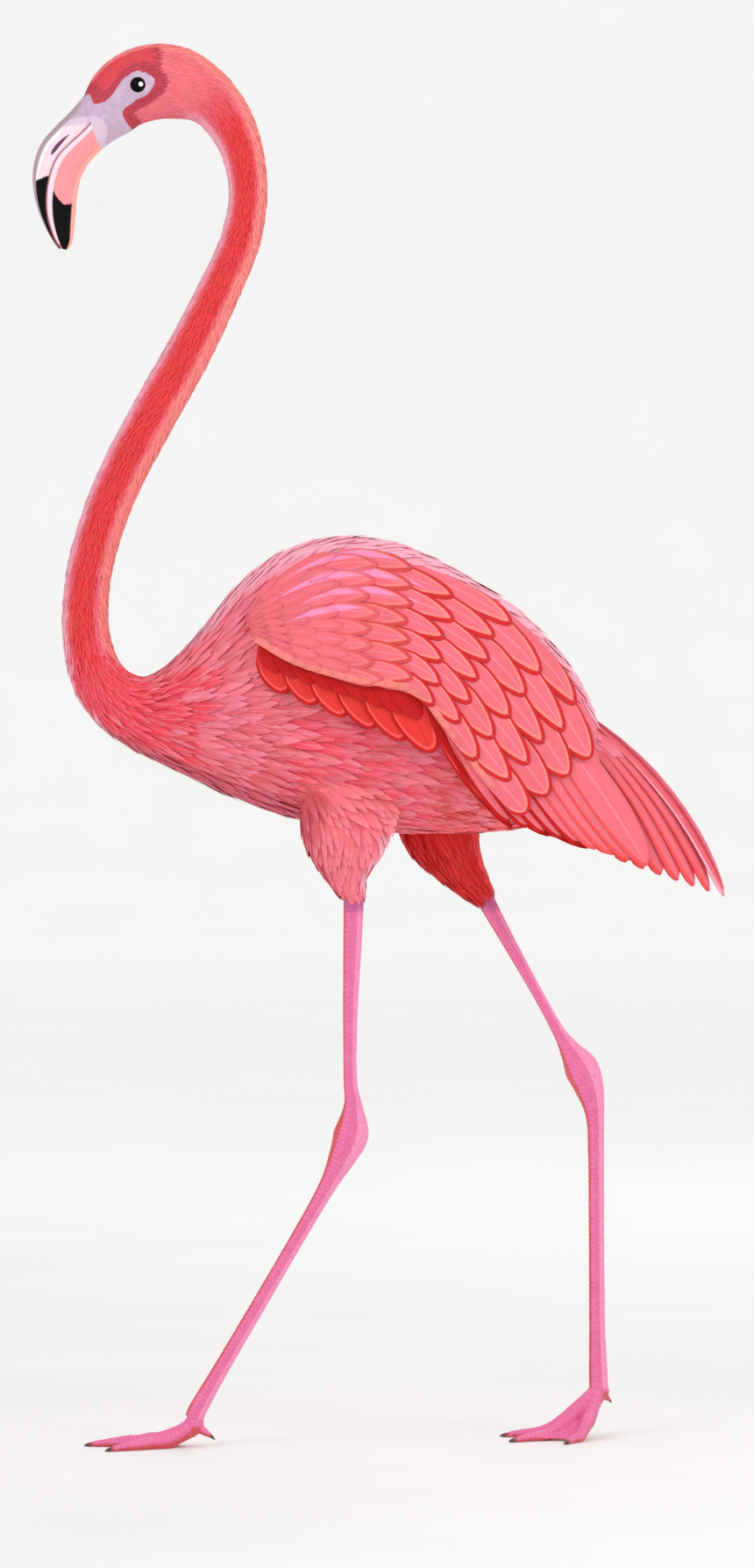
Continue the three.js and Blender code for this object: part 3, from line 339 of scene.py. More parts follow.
# Tones that only vary those colours, in linear numbers.
TINTS = {
    "skin_fleck": (0.45, 0.25, 0.4), "lid_rim": (0.12, 0.05, 0.1), "pupil": (0.002, 0.002, 0.002),
    "iris_dark": (0.004, 0.002, 0.002), "iris_light": (0.014, 0.006, 0.004),
    # The bill's whitish tint is a painted highlight along its upper half.
    # The nostril's dark tint is the painted shade inside its slit.
    "horn_stain": (0.35, 0.12, 0.16), "horn_gloss": (0.95, 0.9, 0.92), "nostril": (0.2, 0.09, 0.16),
    # The mauve tint for a leg's top is the thigh's painted shadow on it.
    "comb_root": (0.3, 0.03, 0.05), "thigh_shadow": (0.42, 0.07, 0.26), "scale_gap": (0.5, 0.05, 0.14),
    "floor_dark": (0.87, 0.865, 0.86), "floor_light": (0.89, 0.885, 0.88),
}


# ---- shapes in numbers ---------------------------------------------------------------------------
def smooth(low, high, x):
    """0 below low and 1 above high, with a soft turn between."""
    t = np.clip((np.asarray(x, float) - low) / (high - low), 0, 1)
    return t * t * (3 - 2 * t)


def band(x, start, full, fade, end):
    """1 from full to fade, 0 before start and past end, with soft turns between."""
    return smooth(start, full, x) * (1 - smooth(fade, end, x))


def turns(count):
    """Angles at even steps round a full turn."""
    return 2 * np.pi * np.arange(count) / count


def grid(rows, columns):
    """Each row's value and each column's value at every crossing of the two."""
    return np.meshgrid(rows, columns, indexing="ij")


def spline(rows, t, reflect=False):
    """A smooth curve through rows of numbers, at places counted in rows."""
    last = len(rows) - 1
    t = np.clip(np.asarray(t, float), 0, last)
    i = np.minimum(t.astype(int), last - 1)
    w = (t - i)[..., None]
    a, b = rows[i], rows[i + 1]
    before, after = rows[np.maximum(i - 1, 0)], rows[np.minimum(i + 2, last)]
    if reflect:
        before = np.where((i == 0)[..., None], 2 * a - b, before)
        after = np.where((i == last - 1)[..., None], 2 * b - a, after)
    va, vb = (b - before) / 2, (after - a) / 2
    return ((2 * a - 2 * b + va + vb) * w + (-3 * a + 3 * b - 2 * va - vb)) * w * w + va * w + a


def unit(v):
    return v / np.maximum(np.linalg.norm(v, axis=-1, keepdims=True), 1e-9)


def closed_curve(corners, steps=8):
    """A smooth closed outline through its corners."""
    n = len(corners)
    ring = np.concatenate([corners[-2:], corners, corners[:2]])
    return spline(ring, np.arange(n * steps) / steps + 2)


def outline_depth(corners, x, z):
    """How deep a place lies inside a closed outline, in mm; negative outside it."""
    ring = closed_curve(corners)
    a, b = ring, np.roll(ring, -1, axis=0)
    p = np.stack([np.ravel(x), np.ravel(z)], -1)[:, None, :]
    edge = b - a
    share = np.clip(((p - a) * edge).sum(-1) / (edge**2).sum(-1), 0, 1)
    distance = np.linalg.norm(p - a - share[..., None] * edge, axis=-1).min(1)
    spans = (a[:, 1] > p[..., 1]) != (b[:, 1] > p[..., 1])
    height = np.where(edge[:, 1] == 0, 1e-9, edge[:, 1])
    left_of = p[..., 0] < edge[:, 0] * (p[..., 1] - a[:, 1]) / height + a[:, 0]
    inside = (spans & left_of).sum(1) % 2 == 1
    return np.where(inside, distance, -distance).reshape(np.shape(x))


def body_at(s, a, sink=0.0):
    """Places on the long body at station s and angle a, 0 on the back, sunk under the coat's surface."""
    row = spline(BODY, s)
    dorsal, ventral = row[..., 0:2], row[..., 2:4]
    up = dorsal - ventral
    depth = np.linalg.norm(up, axis=-1)
    up = up / depth[..., None]
    rise = np.cos(a)
    reach = ((depth / 2 - sink) * rise)[..., None] * up + (dorsal + ventral) / 2
    across = np.sin(a) * (row[..., 4] - sink) * (1 - row[..., 5] * rise)
    return np.stack([reach[..., 0], across, reach[..., 1]], -1)


def skin_at(s, a):
    """Places on the skin: under the coat by its depth, and at the surface where the face is bare."""
    coat = spline(BODY, s)[..., 6]
    at = body_at(s, a, coat)
    bare = smooth(-4, 1, outline_depth(FACE_EDGE, at[..., 0], at[..., 2])) if np.min(s) < NECK_TOP else 0
    return body_at(s, a, coat * (1 - 0.9 * bare))


def skin_frame(s, a):
    """Place, outward direction and direction towards the tail on the skin."""
    step = 0.03
    along = unit(skin_at(np.minimum(s + step, VENT), a) - skin_at(np.maximum(s - step, 0), a))
    around = skin_at(s, a + step) - skin_at(s, a - step)
    return skin_at(s, a), unit(np.cross(along, around)), along


def wing_reach(x, z):
    """How far the wing's surface stands from the mirror plane."""
    place = np.interp(x, WING_FORM[:, 0], np.arange(len(WING_FORM)))
    form = spline(WING_FORM[:, 1:], place)
    q = (z - form[..., 1]) / (form[..., 0] - form[..., 1])
    above = np.sqrt(1 - np.clip(q, 0, 0.985) ** 2)
    below = 1 - WING_TUCK * np.clip(-q, 0, 1.6) ** 2
    return form[..., 2] * np.where(q > 0, above, below)


def wing_point(side, x, z, lift):
    """A place on the wing, lifted off its surface."""
    step = 2
    slope_x = (wing_reach(x + step, z) - wing_reach(x - step, z)) / (2 * step)
    slope_z = (wing_reach(x, z + step) - wing_reach(x, z - step)) / (2 * step)
    normal = unit(np.stack([-slope_x, np.ones_like(slope_x), -slope_z], -1))
    at = np.stack([x, wing_reach(x, z), z], -1) + normal * np.asarray(lift)[..., None]
    return at * np.array([1, side, 1])


def wing_place(u, v):
    """The place at u along the wing and v across it, as x z. Past the rear edge it runs straight on."""
    def inside(s):
        top = spline(WING_TOP, s * (len(WING_TOP) - 1))
        bottom = spline(WING_BOTTOM, s * (len(WING_BOTTOM) - 1))
        return top + (bottom - top) * np.asarray(v)[..., None]

    beyond = np.maximum(u - 1, 0)[..., None] / 0.04
    return inside(np.minimum(u, 1)) + beyond * (inside(np.ones_like(u)) - inside(np.full_like(u, 0.96)))


def vane_width(s, tip):
    """A vane's half width as a share of its widest: narrow root, full sides, round or long tip."""
    root = 0.5 + 0.5 * smooth(-0.05, 0.45, s)
    end = np.sqrt(np.clip(1 - (np.clip(s - 1 + tip, 0, None) / tip) ** 2, 0, 1))
    return np.maximum(root * end, 0.06)


def tube_rings(centre, front, across, sizes, sides):
    """Rings round a path."""
    angle = turns(sides)
    ring = np.cos(angle)[None, :, None] * front[:, None, :] * sizes[:, None, :1]
    ring = ring + np.sin(angle)[None, :, None] * across[:, None, :] * sizes[:, None, 1:2]
    return centre[:, None, :] + ring


def leg_frame(stations, t):
    """A leg's centre, front, across and along directions and its sizes, at places from 0 to 1."""
    last = len(stations) - 1
    step = 0.02
    row = spline(stations, t * last, reflect=True)
    path = stations[:, :3]
    along = unit(spline(path, t * last + step, True) - spline(path, t * last - step, True))
    front = unit(np.cross(np.broadcast_to([0.0, 1, 0], along.shape), along))
    return row[:, :3], front, np.cross(along, front), along, row[:, 3:5]


def toe_path(foot, toe, share):
    """Places on a toe's middle line."""
    turn, length = TOES[toe]
    heading = math.radians(foot["heading"] + turn * foot["mirror"])
    place = np.interp(share, TOE_SHARES, np.arange(len(TOE_SHARES)))
    height = spline(np.array(foot["heights"], float)[:, None], place)[..., 0]
    reach = length * np.asarray(share, float)
    x, y, _ = foot["knuckle"]
    return np.stack([x - math.cos(heading) * reach, y - math.sin(heading) * reach, height], -1)


def toe_rings(foot, toe, shares, sides, scale=1.0, shift=0.0):
    """Rings round a toe, with a swelling at each joint."""
    centre = toe_path(foot, toe, shares)
    along = unit(toe_path(foot, toe, np.minimum(shares + 0.02, 1)) - toe_path(foot, toe, shares - 0.02))
    across = unit(np.cross(np.broadcast_to([0.0, 0, 1], along.shape), along))
    up = np.cross(along, across)
    grow = 1 + 0.06 * np.cos(shares * np.pi * 6)
    place = shares * (len(TOE_HALF_HEIGHT) - 1)
    columns = np.arange(len(TOE_HALF_HEIGHT))
    sizes = np.stack([np.interp(place, columns, half) for half in (TOE_HALF_HEIGHT, TOE_HALF_WIDTH)], -1)
    sizes = sizes * (grow * scale)[:, None]
    return tube_rings(centre + along * np.asarray(shift)[..., None], up, across, sizes, sides)


# ---- meshes --------------------------------------------------------------------------------------
def add_object(name, data):
    """Puts a mesh, a lamp or a camera into the scene."""
    made = bpy.data.objects.new(name, data)
    bpy.context.scene.collection.objects.link(made)
    return made


def new_object(name, points, faces, edges=()):
    """A mesh object from places in mm."""
    mesh = bpy.data.meshes.new(name)
    mesh.from_pydata((np.asarray(points) * MM).tolist(), list(edges), [list(f) for f in faces])
    mesh.shade_smooth()
    return add_object(name, mesh)


def drop(*objects):
    for o in objects:
        bpy.data.objects.remove(o)


def read(items, key, per_item=1, kind=np.int32):
    """The values of all items of a mesh, a row for each."""
    found = np.zeros(len(items) * per_item, kind)
    items.foreach_get(key, found)
    return found.reshape(-1, per_item)


def set_points(mesh, name, values):
    """Writes a number, a vector or a colour to each point of a mesh."""
    size = np.size(values) // len(mesh.vertices)
    kind, key = {1: ("FLOAT", "value"), 3: ("FLOAT_VECTOR", "vector"), 4: ("FLOAT_COLOR", "color")}[size]
    attribute = mesh.attributes.new(name, kind, "POINT")
    attribute.data.foreach_set(key, np.ascontiguousarray(values, np.float32).ravel())


def set_corners(mesh, name, values):
    """Writes a UV map from one pair of numbers for each point."""
    corner = read(mesh.loops, "vertex_index")[:, 0]
    layer = mesh.uv_layers.new(name=name)
    layer.data.foreach_set("uv", np.asarray(values, np.float32)[corner].ravel())


def points_of(mesh):
    return read(mesh.vertices, "co", 3, float) / MM


def loft_faces(rings, sides):
    """Faces of a skin over rings of equal size, closed at both ends by a fan round an added point."""
    faces = []
    for r in range(rings - 1):
        for i in range(sides):
            j = (i + 1) % sides
            a, b = r * sides, (r + 1) * sides
            faces.append((a + i, a + j, b + j, b + i))
    top, end = rings * sides, (rings - 1) * sides
    faces += [((i + 1) % sides, i, top) for i in range(sides)]
    faces += [(end + i, end + (i + 1) % sides, top + 1) for i in range(sides)]
    return faces


def with_ends(rings):
    """The values of rings in one list, and their mean at each end."""
    return np.concatenate([rings.reshape(-1, rings.shape[-1]), rings[:1].mean(1), rings[-1:].mean(1)])


def closed_skin(rings):
    """Points and faces of a closed skin over rings, turned outwards by its first face."""
    points, faces = with_ends(rings), loft_faces(*rings.shape[:2])
    a, b, c = points[list(faces[0][:3])]
    if np.dot(np.cross(b - a, c - a), a - rings[0].mean(0)) < 0:
        faces = [f[::-1] for f in faces]
    return points, faces


def outwards(o):
    """Turns a closed mesh's faces outwards."""
    if mesh_volume(o.data) < 0:
        o.data.flip_normals()
    return o


def loft(name, rings):
    """A closed skin over rings as an object."""
    return outwards(new_object(name, with_ends(rings), loft_faces(*rings.shape[:2])))


def move_points(mesh, points):
    mesh.vertices.foreach_set("co", (points * MM).ravel())
    mesh.update()


def mesh_volume(mesh):
    mesh.calc_loop_triangles()
    p = points_of(mesh)[read(mesh.loop_triangles, "vertices", 3)]
    return float((p[:, 0] * np.cross(p[:, 1], p[:, 2])).sum())


def grid_faces(rows, columns):
    """Faces of a slab whose first points are its outer grid and whose next ones are its inner grid."""
    index = np.arange(rows * columns).reshape(rows, columns)
    a, b, c, d = index[:-1, :-1], index[:-1, 1:], index[1:, 1:], index[1:, :-1]
    outer = np.stack([a, b, c, d], -1).reshape(-1, 4)
    inner = outer[:, ::-1] + rows * columns
    rim = np.concatenate([index[0, :-1], index[:-1, -1], index[-1, :0:-1], index[:0:-1, 0]])
    after = np.roll(rim, -1)
    sides = np.stack([after, rim, rim + rows * columns, after + rows * columns], -1)
    return np.concatenate([outer, inner, sides])


def slabs_object(name, vanes):
    """Many closed vanes as one mesh. Each vane is a dict with its outer and inner grids in mm, and the
    values that its points carry."""
    points, faces, values, offset = [], [], {}, 0
    for vane in vanes:
        rows, columns = vane["outer"].shape[:2]
        both = np.concatenate([vane["outer"].reshape(-1, 3), vane["inner"].reshape(-1, 3)])
        found = grid_faces(rows, columns)
        a, b, c = (both[found[0, k]] for k in (0, 1, 2))
        if np.dot(np.cross(b - a, c - a), vane["outer"][0, 0] - vane["inner"][0, 0]) < 0:
            found = found[:, ::-1]
        points.append(both)
        faces.append(found + offset)
        offset += len(both)
        for key, value in vane["carry"].items():
            value = np.asarray(value, float)
            if value.ndim >= 2 and value.shape[:2] == (rows, columns):
                value = np.concatenate([value.reshape(rows * columns, -1)] * 2)
            else:
                value = np.broadcast_to(value.reshape(1, -1), (len(both), value.size))
            values.setdefault(key, []).append(value)
    made = new_object(name, np.concatenate(points), np.concatenate(faces))
    for key, parts in values.items():
        joined = np.concatenate(parts)
        if key in ("vane", "OFBake"):
            set_corners(made.data, key, joined)
        else:
            set_points(made.data, key, joined)
    return made


def boolean(target, tool, operation):
    """Joins or cuts one closed mesh with another, exactly, and drops the tool."""
    cut = target.modifiers.new("cut", "BOOLEAN")
    cut.operation, cut.object, cut.solver = operation, tool, "EXACT"
    settle(target)
    drop(tool)


def settle(o):
    """Makes the result of an object's modifiers its plain mesh."""
    graph = bpy.context.evaluated_depsgraph_get()
    graph.update()
    seen = o.evaluated_get(graph)
    mesh = bpy.data.meshes.new_from_object(seen, preserve_all_data_layers=True, depsgraph=graph)
    o.modifiers.clear()
    o.data = mesh
    mesh.shade_smooth()


def relax(o, factor, times, weights=None):
    """Evens out a mesh's surface, more where the weights are large."""
    mesh = o.data
    p = points_of(mesh)
    a, b = read(mesh.edges, "vertices", 2).T
    count = np.bincount(np.concatenate([a, b]), minlength=len(p))[:, None]
    share = factor if weights is None else factor * np.asarray(weights)[:, None]
    for _ in range(times):
        total = np.zeros_like(p)
        np.add.at(total, a, p[b])
        np.add.at(total, b, p[a])
        p = p + (total / count - p) * share
    move_points(mesh, p)
    return p


# ---- materials -----------------------------------------------------------------------------------
def shared(name, make, *facts):
    """A material that several pieces use, made at its first use."""
    return bpy.data.materials.get(name) or make(name, *facts)


def feed(tree, socket, value):
    """Links a socket to another one, or sets its value."""
    if isinstance(value, bpy.types.NodeSocket):
        tree.links.new(value, socket)
    else:
        socket.default_value = value


def put_node(tree, kind, inputs, settings):
    node = tree.nodes.new(kind)
    for key, value in settings.items():
        setattr(node, key, value)
    for key, value in inputs.items():
        feed(tree, node.inputs[key], value)
    return node


class Nodes:
    """A short way to build one material's node tree."""

    def __init__(self, name):
        self.material = bpy.data.materials.new(name)
        self.material.use_nodes = True
        self.tree = self.material.node_tree
        self.shader = self.tree.nodes["Principled BSDF"]

    def put(self, kind, inputs=None, **settings):
        return put_node(self.tree, kind, inputs or {}, settings)

    def set(self, **inputs):
        for key, value in inputs.items():
            feed(self.tree, self.shader.inputs[key.replace("_", " ")], value)

    def attribute(self, name, out="Fac"):
        return self.put("ShaderNodeAttribute", attribute_name=name).outputs[out]

    def math(self, operation, *values):
        return self.put("ShaderNodeMath", dict(enumerate(values)), operation=operation).outputs[0]

    def times(self, a, b):
        return self.math("MULTIPLY", a, b)

    def plus(self, a, b):
        return self.math("ADD", a, b)

    def minus(self, a, b):
        return self.math("SUBTRACT", a, b)

    def ramp(self, value, low, high, to_low=0.0, to_high=1.0):
        facts = {0: value, 1: low, 2: high, 3: to_low, 4: to_high}
        return self.put("ShaderNodeMapRange", facts, interpolation_type="SMOOTHSTEP").outputs[0]

    def mix(self, share, a, b):
        """Goes from one tone to another, each the name of a colour or the result of a node."""
        a, b = ((*colour(tone), 1) if isinstance(tone, str) else tone for tone in (a, b))
        return self.put("ShaderNodeMix", {0: share, 6: a, 7: b}, data_type="RGBA").outputs[2]

    def noise(self, scale, detail):
        facts = {"Scale": scale, "Detail": detail, "Vector": self.place()}
        return self.put("ShaderNodeTexNoise", facts).outputs["Fac"]

    def cell_edges(self, scale):
        """How far a place is from the edge of its small irregular cell."""
        facts = {"Scale": scale, "Vector": self.place()}
        return self.put("ShaderNodeTexVoronoi", facts, feature="DISTANCE_TO_EDGE").outputs["Distance"]

    def place(self):
        return self.put("ShaderNodeTexCoord").outputs["Object"]

    def split(self, vector):
        return self.put("ShaderNodeSeparateXYZ", {0: vector}).outputs

    def bump(self, height, distance, strength=1.0):
        node = self.put("ShaderNodeBump", {"Height": height, "Distance": distance, "Strength": strength})
        self.set(Normal=node.outputs[0])


def colour(name):
    """A tint, or a colour as it is set in the panel."""
    return TINTS.get(name) or tuple(getattr(bpy.context.scene.flamingo_colours, name))


def colour4(name):
    return np.array([*colour(name), 1.0])


def streak_share(m):
    """Where the painted highlight streaks run over the shoulder, from 0 to 1."""
    x, _, z = (m.times(part, 1 / MM) for part in m.split(m.place()))
    total = 0.0
    for (x0, z0), (x1, z1), (x2, z2), width in STREAKS:
        a, b, c = (float(v) for v in np.polyfit([x0, x1, x2], [z0, z1, z2], 2))
        bend = m.math("MULTIPLY_ADD", m.math("MULTIPLY_ADD", x, a, b), x, c)
        off = m.math("ABSOLUTE", m.minus(z, bend))
        room = m.math("MINIMUM", m.minus(x, float(x0)), m.minus(float(x2), x))
        wide = m.ramp(room, 0.0, 0.4 * (x2 - x0), 0.0, width)
        share = m.ramp(m.minus(off, wide), -1.0, 0.2, 1.0, 0.0)
        total = m.math("MAXIMUM", total, m.times(share, m.ramp(room, 0.0, 4.0)))
    return total


def covert_lines(m, base, along, line, tip):
    """A covert's outline in its tip's tone and the lighter line inside it, both widest at its end."""
    edge = m.math("DIVIDE", m.attribute("edge"), m.ramp(along, 0.5, 1.0, 0.6, 1.1))
    inner = m.times(m.ramp(edge, 5.8, 6.8, 1, 0), m.ramp(along, 0.3, 0.6))
    base = m.mix(m.times(inner, m.attribute("drawn")), base, line)
    outer = m.times(m.ramp(edge, 3.3, 3.9, 1, 0), m.ramp(along, 0.2, 0.5))
    return m.mix(m.times(outer, m.attribute("rim")), base, tip)


def feather_material(name, barb_count, relief_depth, line=None, shaft_tone="pale", streaks=False):
    """Vanes: the tone of their place, a lighter shaft, barbs that slant from it and a soft edge."""
    m = Nodes(name)
    uv = m.put("ShaderNodeUVMap", uv_map="vane").outputs[0]
    across, along, _ = m.split(uv)
    off_shaft = m.math("ABSOLUTE", m.minus(across, 0.5))
    tone, tip = m.attribute("tone", "Color"), m.attribute("tip", "Color")
    if streaks:
        # Painted highlight streaks over the shoulder, in the light pink.
        tone = m.mix(streak_share(m), tone, "highlight_and_blotch_pink")
    base = covert_lines(m, tone, along, line, tip) if line else m.mix(m.ramp(along, 0.45, 1.0), tone, tip)
    slant = m.plus(m.times(along, barb_count), m.times(off_shaft, -barb_count * 0.5))
    barbs = m.math("SINE", m.times(slant, 2 * math.pi))
    shade = m.plus(m.times(barbs, 0.04), m.times(m.minus(m.noise(90, 2), 0.5), 0.2))
    shade = m.plus(shade, m.times(m.minus(m.attribute("chance"), 0.5), 0.1))
    shaft = m.ramp(off_shaft, 0.0, 0.05, 1, 0)
    base = m.mix(m.times(shaft, 0.35), base, shaft_tone)
    facts = {"Color": base, "Value": m.plus(shade, 1.0 if line else 1.05)}
    m.set(Base_Color=m.put("ShaderNodeHueSaturation", facts).outputs[0], Roughness=0.66, Sheen_Weight=0.04,
          Sheen_Roughness=0.5, Specular_IOR_Level=0.14, Subsurface_Weight=0.12, Subsurface_Scale=0.003,
          Subsurface_Radius=(1.0, 0.35, 0.3))
    m.bump(m.plus(m.times(barbs, 0.5), m.times(shaft, 1.5)), relief_depth, 0.8)
    return m.material


def feather_look(name):
    return shared(name, feather_material, *FEATHER_LOOKS[name])


def bare_skin(m, fine):
    """Bare lilac skin with lighter blotches and darker flecks."""
    blotched = m.mix(m.ramp(m.noise(140, 3), 0.4, 0.75, 0, 0.5), "lilac", "bill_base")
    return m.mix(m.ramp(fine, 0.55, 0.75, 0, 0.3), blotched, "skin_fleck")


def skin_material(name):
    """Skin under the feathers in their own tones, bare lilac skin on the face with fine creases."""
    m = Nodes(name)
    fine = m.noise(900, 4)
    bare = m.mix(m.ramp(m.attribute("gape"), -0.8, 0.8), bare_skin(m, fine), "bill_base")
    base = m.mix(m.ramp(m.attribute("face"), -0.6, 0.6), m.attribute("tone", "Color"), bare)
    m.set(Base_Color=base, Roughness=0.5, Subsurface_Weight=0.08, Subsurface_Scale=0.004)
    m.bump(m.plus(m.ramp(m.cell_edges(620.0), 0.0, 0.25), m.times(fine, 0.6)), 0.00018, 0.7)
    return m.material


def slit_share(m):
    """Where the nostril's slit is, from 0 at its rim to 1 inside; the bill is painted dark there as the
    slit's shade. It bends, and narrows towards the face.
    """
    lean = math.radians(NOSTRIL["lean"])
    x, _, z = m.split(m.place())
    x, z = (m.math("MULTIPLY_ADD", part, 2 / MM, -2.0 * NOSTRIL[key]) for part, key in ((x, "x"), (z, "z")))

    def turned(to_x, to_z, size):
        return m.math("MULTIPLY_ADD", x, to_x / NOSTRIL[size], m.times(z, to_z / NOSTRIL[size]))

    along = turned(math.cos(lean), math.sin(lean), "length")
    across = turned(math.sin(lean), -math.cos(lean), "width")
    along2 = m.times(along, along)
    across = m.plus(across, m.math("MULTIPLY_ADD", along2, -0.9, 0.36))
    across = m.math("DIVIDE", across, m.math("MULTIPLY_ADD", m.ramp(along, -1.0, 1.0), -1.0, 1.65))
    return m.ramp(m.math("SQRT", m.math("MULTIPLY_ADD", across, across, along2)), 0.98, 0.8)


def bill_material(name, upper):
    """Satin horn: lilac at the face, pale or rose along its length, black from half way to the tip, with a
    painted highlight along the upper half.
    """
    m = Nodes(name)
    reach, rise = m.attribute("reach"), m.attribute("rise")
    grain = m.noise(260, 4)
    wobble = m.times(m.minus(grain, 0.5), 0.02)

    def leaning(height, lean):
        return m.plus(reach, m.times(height, lean))

    def stained(base):
        return m.mix(m.ramp(grain, 0.45, 0.75, 0, 0.12), base, "horn_stain")

    if upper:
        slope = leaning(rise, -0.24)
        base = m.mix(m.ramp(slope, -0.045, -0.03), "lilac", "bill_base")
        base = m.mix(m.ramp(slope, 0.02, 0.04), base, "bill_pale")
        # A painted white highlight along the upper half, from about a fifth of its length on.
        top_highlight = m.times(m.ramp(rise, 0.52, 0.58), m.ramp(reach, 0.17, 0.26))
        base = stained(m.mix(top_highlight, base, "horn_gloss"))
        base = m.mix(m.ramp(m.plus(leaning(rise, -0.17), wobble), 0.475, 0.49), base, "bill_tip")
        base = m.mix(m.times(m.ramp(rise, 0.7, 0.75), m.ramp(reach, 0.0, 0.06)), base, "culmen")
        # The nostril's dark is painted shade inside the slit.
        base = m.mix(slit_share(m), base, "nostril")
    else:
        base = stained(m.mix(m.ramp(reach, 0.005, 0.025), "bill_base", "bill_rose"))
        bulge = m.math("SINE", m.times(rise, 2.9))
        base = m.mix(m.ramp(m.plus(leaning(bulge, -0.1), wobble), 0.52, 0.535), base, "bill_tip")
        base = m.mix(m.ramp(rise, 0.8, 0.88), base, "keel")
        base = m.mix(m.ramp(rise, 0.16, 0.1), base, "bill_pale")
    lines = m.math("SINE", m.times(m.plus(rise, m.times(grain, 0.5)), 60))
    m.set(Base_Color=base, Roughness=m.ramp(grain, 0.3, 0.7, 0.36, 0.48), Specular_IOR_Level=0.1,
          Subsurface_Weight=0.03, Subsurface_Scale=0.003)
    m.bump(m.plus(grain, m.times(lines, 0.25)), 0.00012, 0.6)
    return m.material


def leg_material(name):
    """Scaled skin: broad plates down the front, small ones elsewhere. Painted shade darkens the front, the
    underside of the foot and the top of the leg, where the thigh's painted shadow also falls; a painted
    highlight lightens the back and the top of the foot.
    """
    m = Nodes(name)
    along, front, shade_mark = m.split(m.attribute("lay", "Vector"))
    small = m.ramp(m.cell_edges(330.0), 0.0, 0.16)
    plates = m.ramp(m.math("ABSOLUTE", m.math("SINE", m.times(along, math.pi / SCUTE_LENGTH))), 0.0, 0.3)
    relief = m.put("ShaderNodeMix", {0: m.ramp(front, 0.25, 0.45), 2: small, 3: plates}).outputs[0]
    # Painted shade down the front, a painted highlight down the back, painted shade under the foot and at the
    # leg's top, a painted highlight over the foot, light random blotches, and the thigh's painted shadow at
    # the top.
    base = m.mix(m.ramp(front, 0.76, 0.84), "leg", "leg_edge")
    base = m.mix(m.ramp(front, -0.36, -0.46), base, "highlight_and_blotch_pink")
    base = m.mix(m.ramp(shade_mark, 0.0, 1.0), base, "leg_edge")
    base = m.mix(m.ramp(shade_mark, 0.0, -1.0), base, "highlight_and_blotch_pink")
    base = m.mix(m.ramp(m.noise(60, 3), 0.4, 0.75, 0, 0.2), base, "highlight_and_blotch_pink")
    base = m.mix(m.ramp(m.split(m.place())[2], 0.486, 0.496, 0.0, 0.7), base, "thigh_shadow")
    base = m.mix(m.ramp(relief, 0.0, 1.0, 0.25, 0), base, "scale_gap")
    m.set(Base_Color=base, Roughness=m.ramp(relief, 0, 1, 0.6, 0.4), Subsurface_Weight=0.08,
          Subsurface_Scale=0.003)
    m.bump(m.plus(relief, m.times(m.noise(1400, 2), 0.25)), 0.0003, 0.8)
    return m.material


def claw_material(name):
    """Dark horn, reddish where it leaves the toe."""
    m = Nodes(name)
    grain = m.noise(500, 3)
    reach = m.plus(m.attribute("reach"), m.times(grain, 0.3))
    base = m.mix(m.ramp(reach, 0.1, 0.7), "leg_edge", "claw")
    m.set(Base_Color=base, Roughness=0.38, Coat_Weight=0.2)
    m.bump(grain, 0.0001, 0.5)
    return m.material


def comb_material(name):
    m = Nodes(name)
    grain = m.noise(700, 2)
    m.set(Base_Color=m.mix(m.ramp(grain, 0.3, 0.7), "comb", "comb_root"), Roughness=0.5)
    m.bump(grain, 0.0001, 0.4)
    return m.material


def mouth_edge_material(name):
    m = Nodes(name)
    base = m.mix(m.ramp(m.noise(500, 2), 0.3, 0.7), "bill_pale", "bill_base")
    m.set(Base_Color=base, Roughness=0.45)
    return m.material


def eye_material(name):
    """A wet eye: black pupil, a dark brown iris round it and a clear front."""
    m = Nodes(name)
    iris = m.mix(m.noise(1600, 3), "iris_dark", "iris_light")
    m.set(Base_Color=m.mix(m.ramp(m.attribute("gaze"), 0.78, 0.82), iris, "pupil"), Roughness=0.05,
          Specular_IOR_Level=0.06)
    return m.material


def lid_material(name):
    """The face's own skin, darker at the rim against the eye."""
    m = Nodes(name)
    fine = m.noise(900, 4)
    base = m.mix(m.ramp(m.attribute("rim"), 0.0, 1.0, 0, 0.85), bare_skin(m, fine), "lid_rim")
    m.set(Base_Color=base, Roughness=0.5, Subsurface_Weight=0.08, Subsurface_Scale=0.004)
    m.bump(fine, 0.00012, 0.6)
    return m.material


# ---- geometry node trees -------------------------------------------------------------------------
class Tree:
    """A geometry node group with named inputs, run once on a piece by a modifier."""

    def __init__(self, name, inputs):
        self.group = bpy.data.node_groups.new(name, "GeometryNodeTree")
        self.group.interface.new_socket("Geometry", in_out="OUTPUT", socket_type="NodeSocketGeometry")
        self.group.interface.new_socket("Geometry", in_out="INPUT", socket_type="NodeSocketGeometry")
        for label, kind in inputs:
            self.group.interface.new_socket(label, in_out="INPUT", socket_type=kind)
        self.given = self.put("NodeGroupInput")

    def put(self, kind, inputs=None, **settings):
        """A new node's outputs."""
        return put_node(self.group, kind, inputs or {}, settings).outputs

    def named(self, name):
        node = self.put("GeometryNodeInputNamedAttribute", {"Name": name}, data_type="FLOAT_VECTOR")
        return node["Attribute"]

    def vector(self, operation, inputs):
        return self.put("ShaderNodeVectorMath", inputs, operation=operation)[0]

    def end(self, geometry, material):
        dressed = self.put("GeometryNodeSetMaterial", {"Geometry": geometry, "Material": material})[0]
        self.put("NodeGroupOutput", {0: dressed})

    def run(self, o, values):
        """Runs the tree on an object and leaves the plain mesh that it makes."""
        modifier = o.modifiers.new(self.group.name, "NODES")
        modifier.node_group = self.group
        for item in self.group.interface.items_tree:
            if item.in_out == "INPUT" and item.name in values:
                modifier[item.identifier] = values[item.name]
        settle(o)


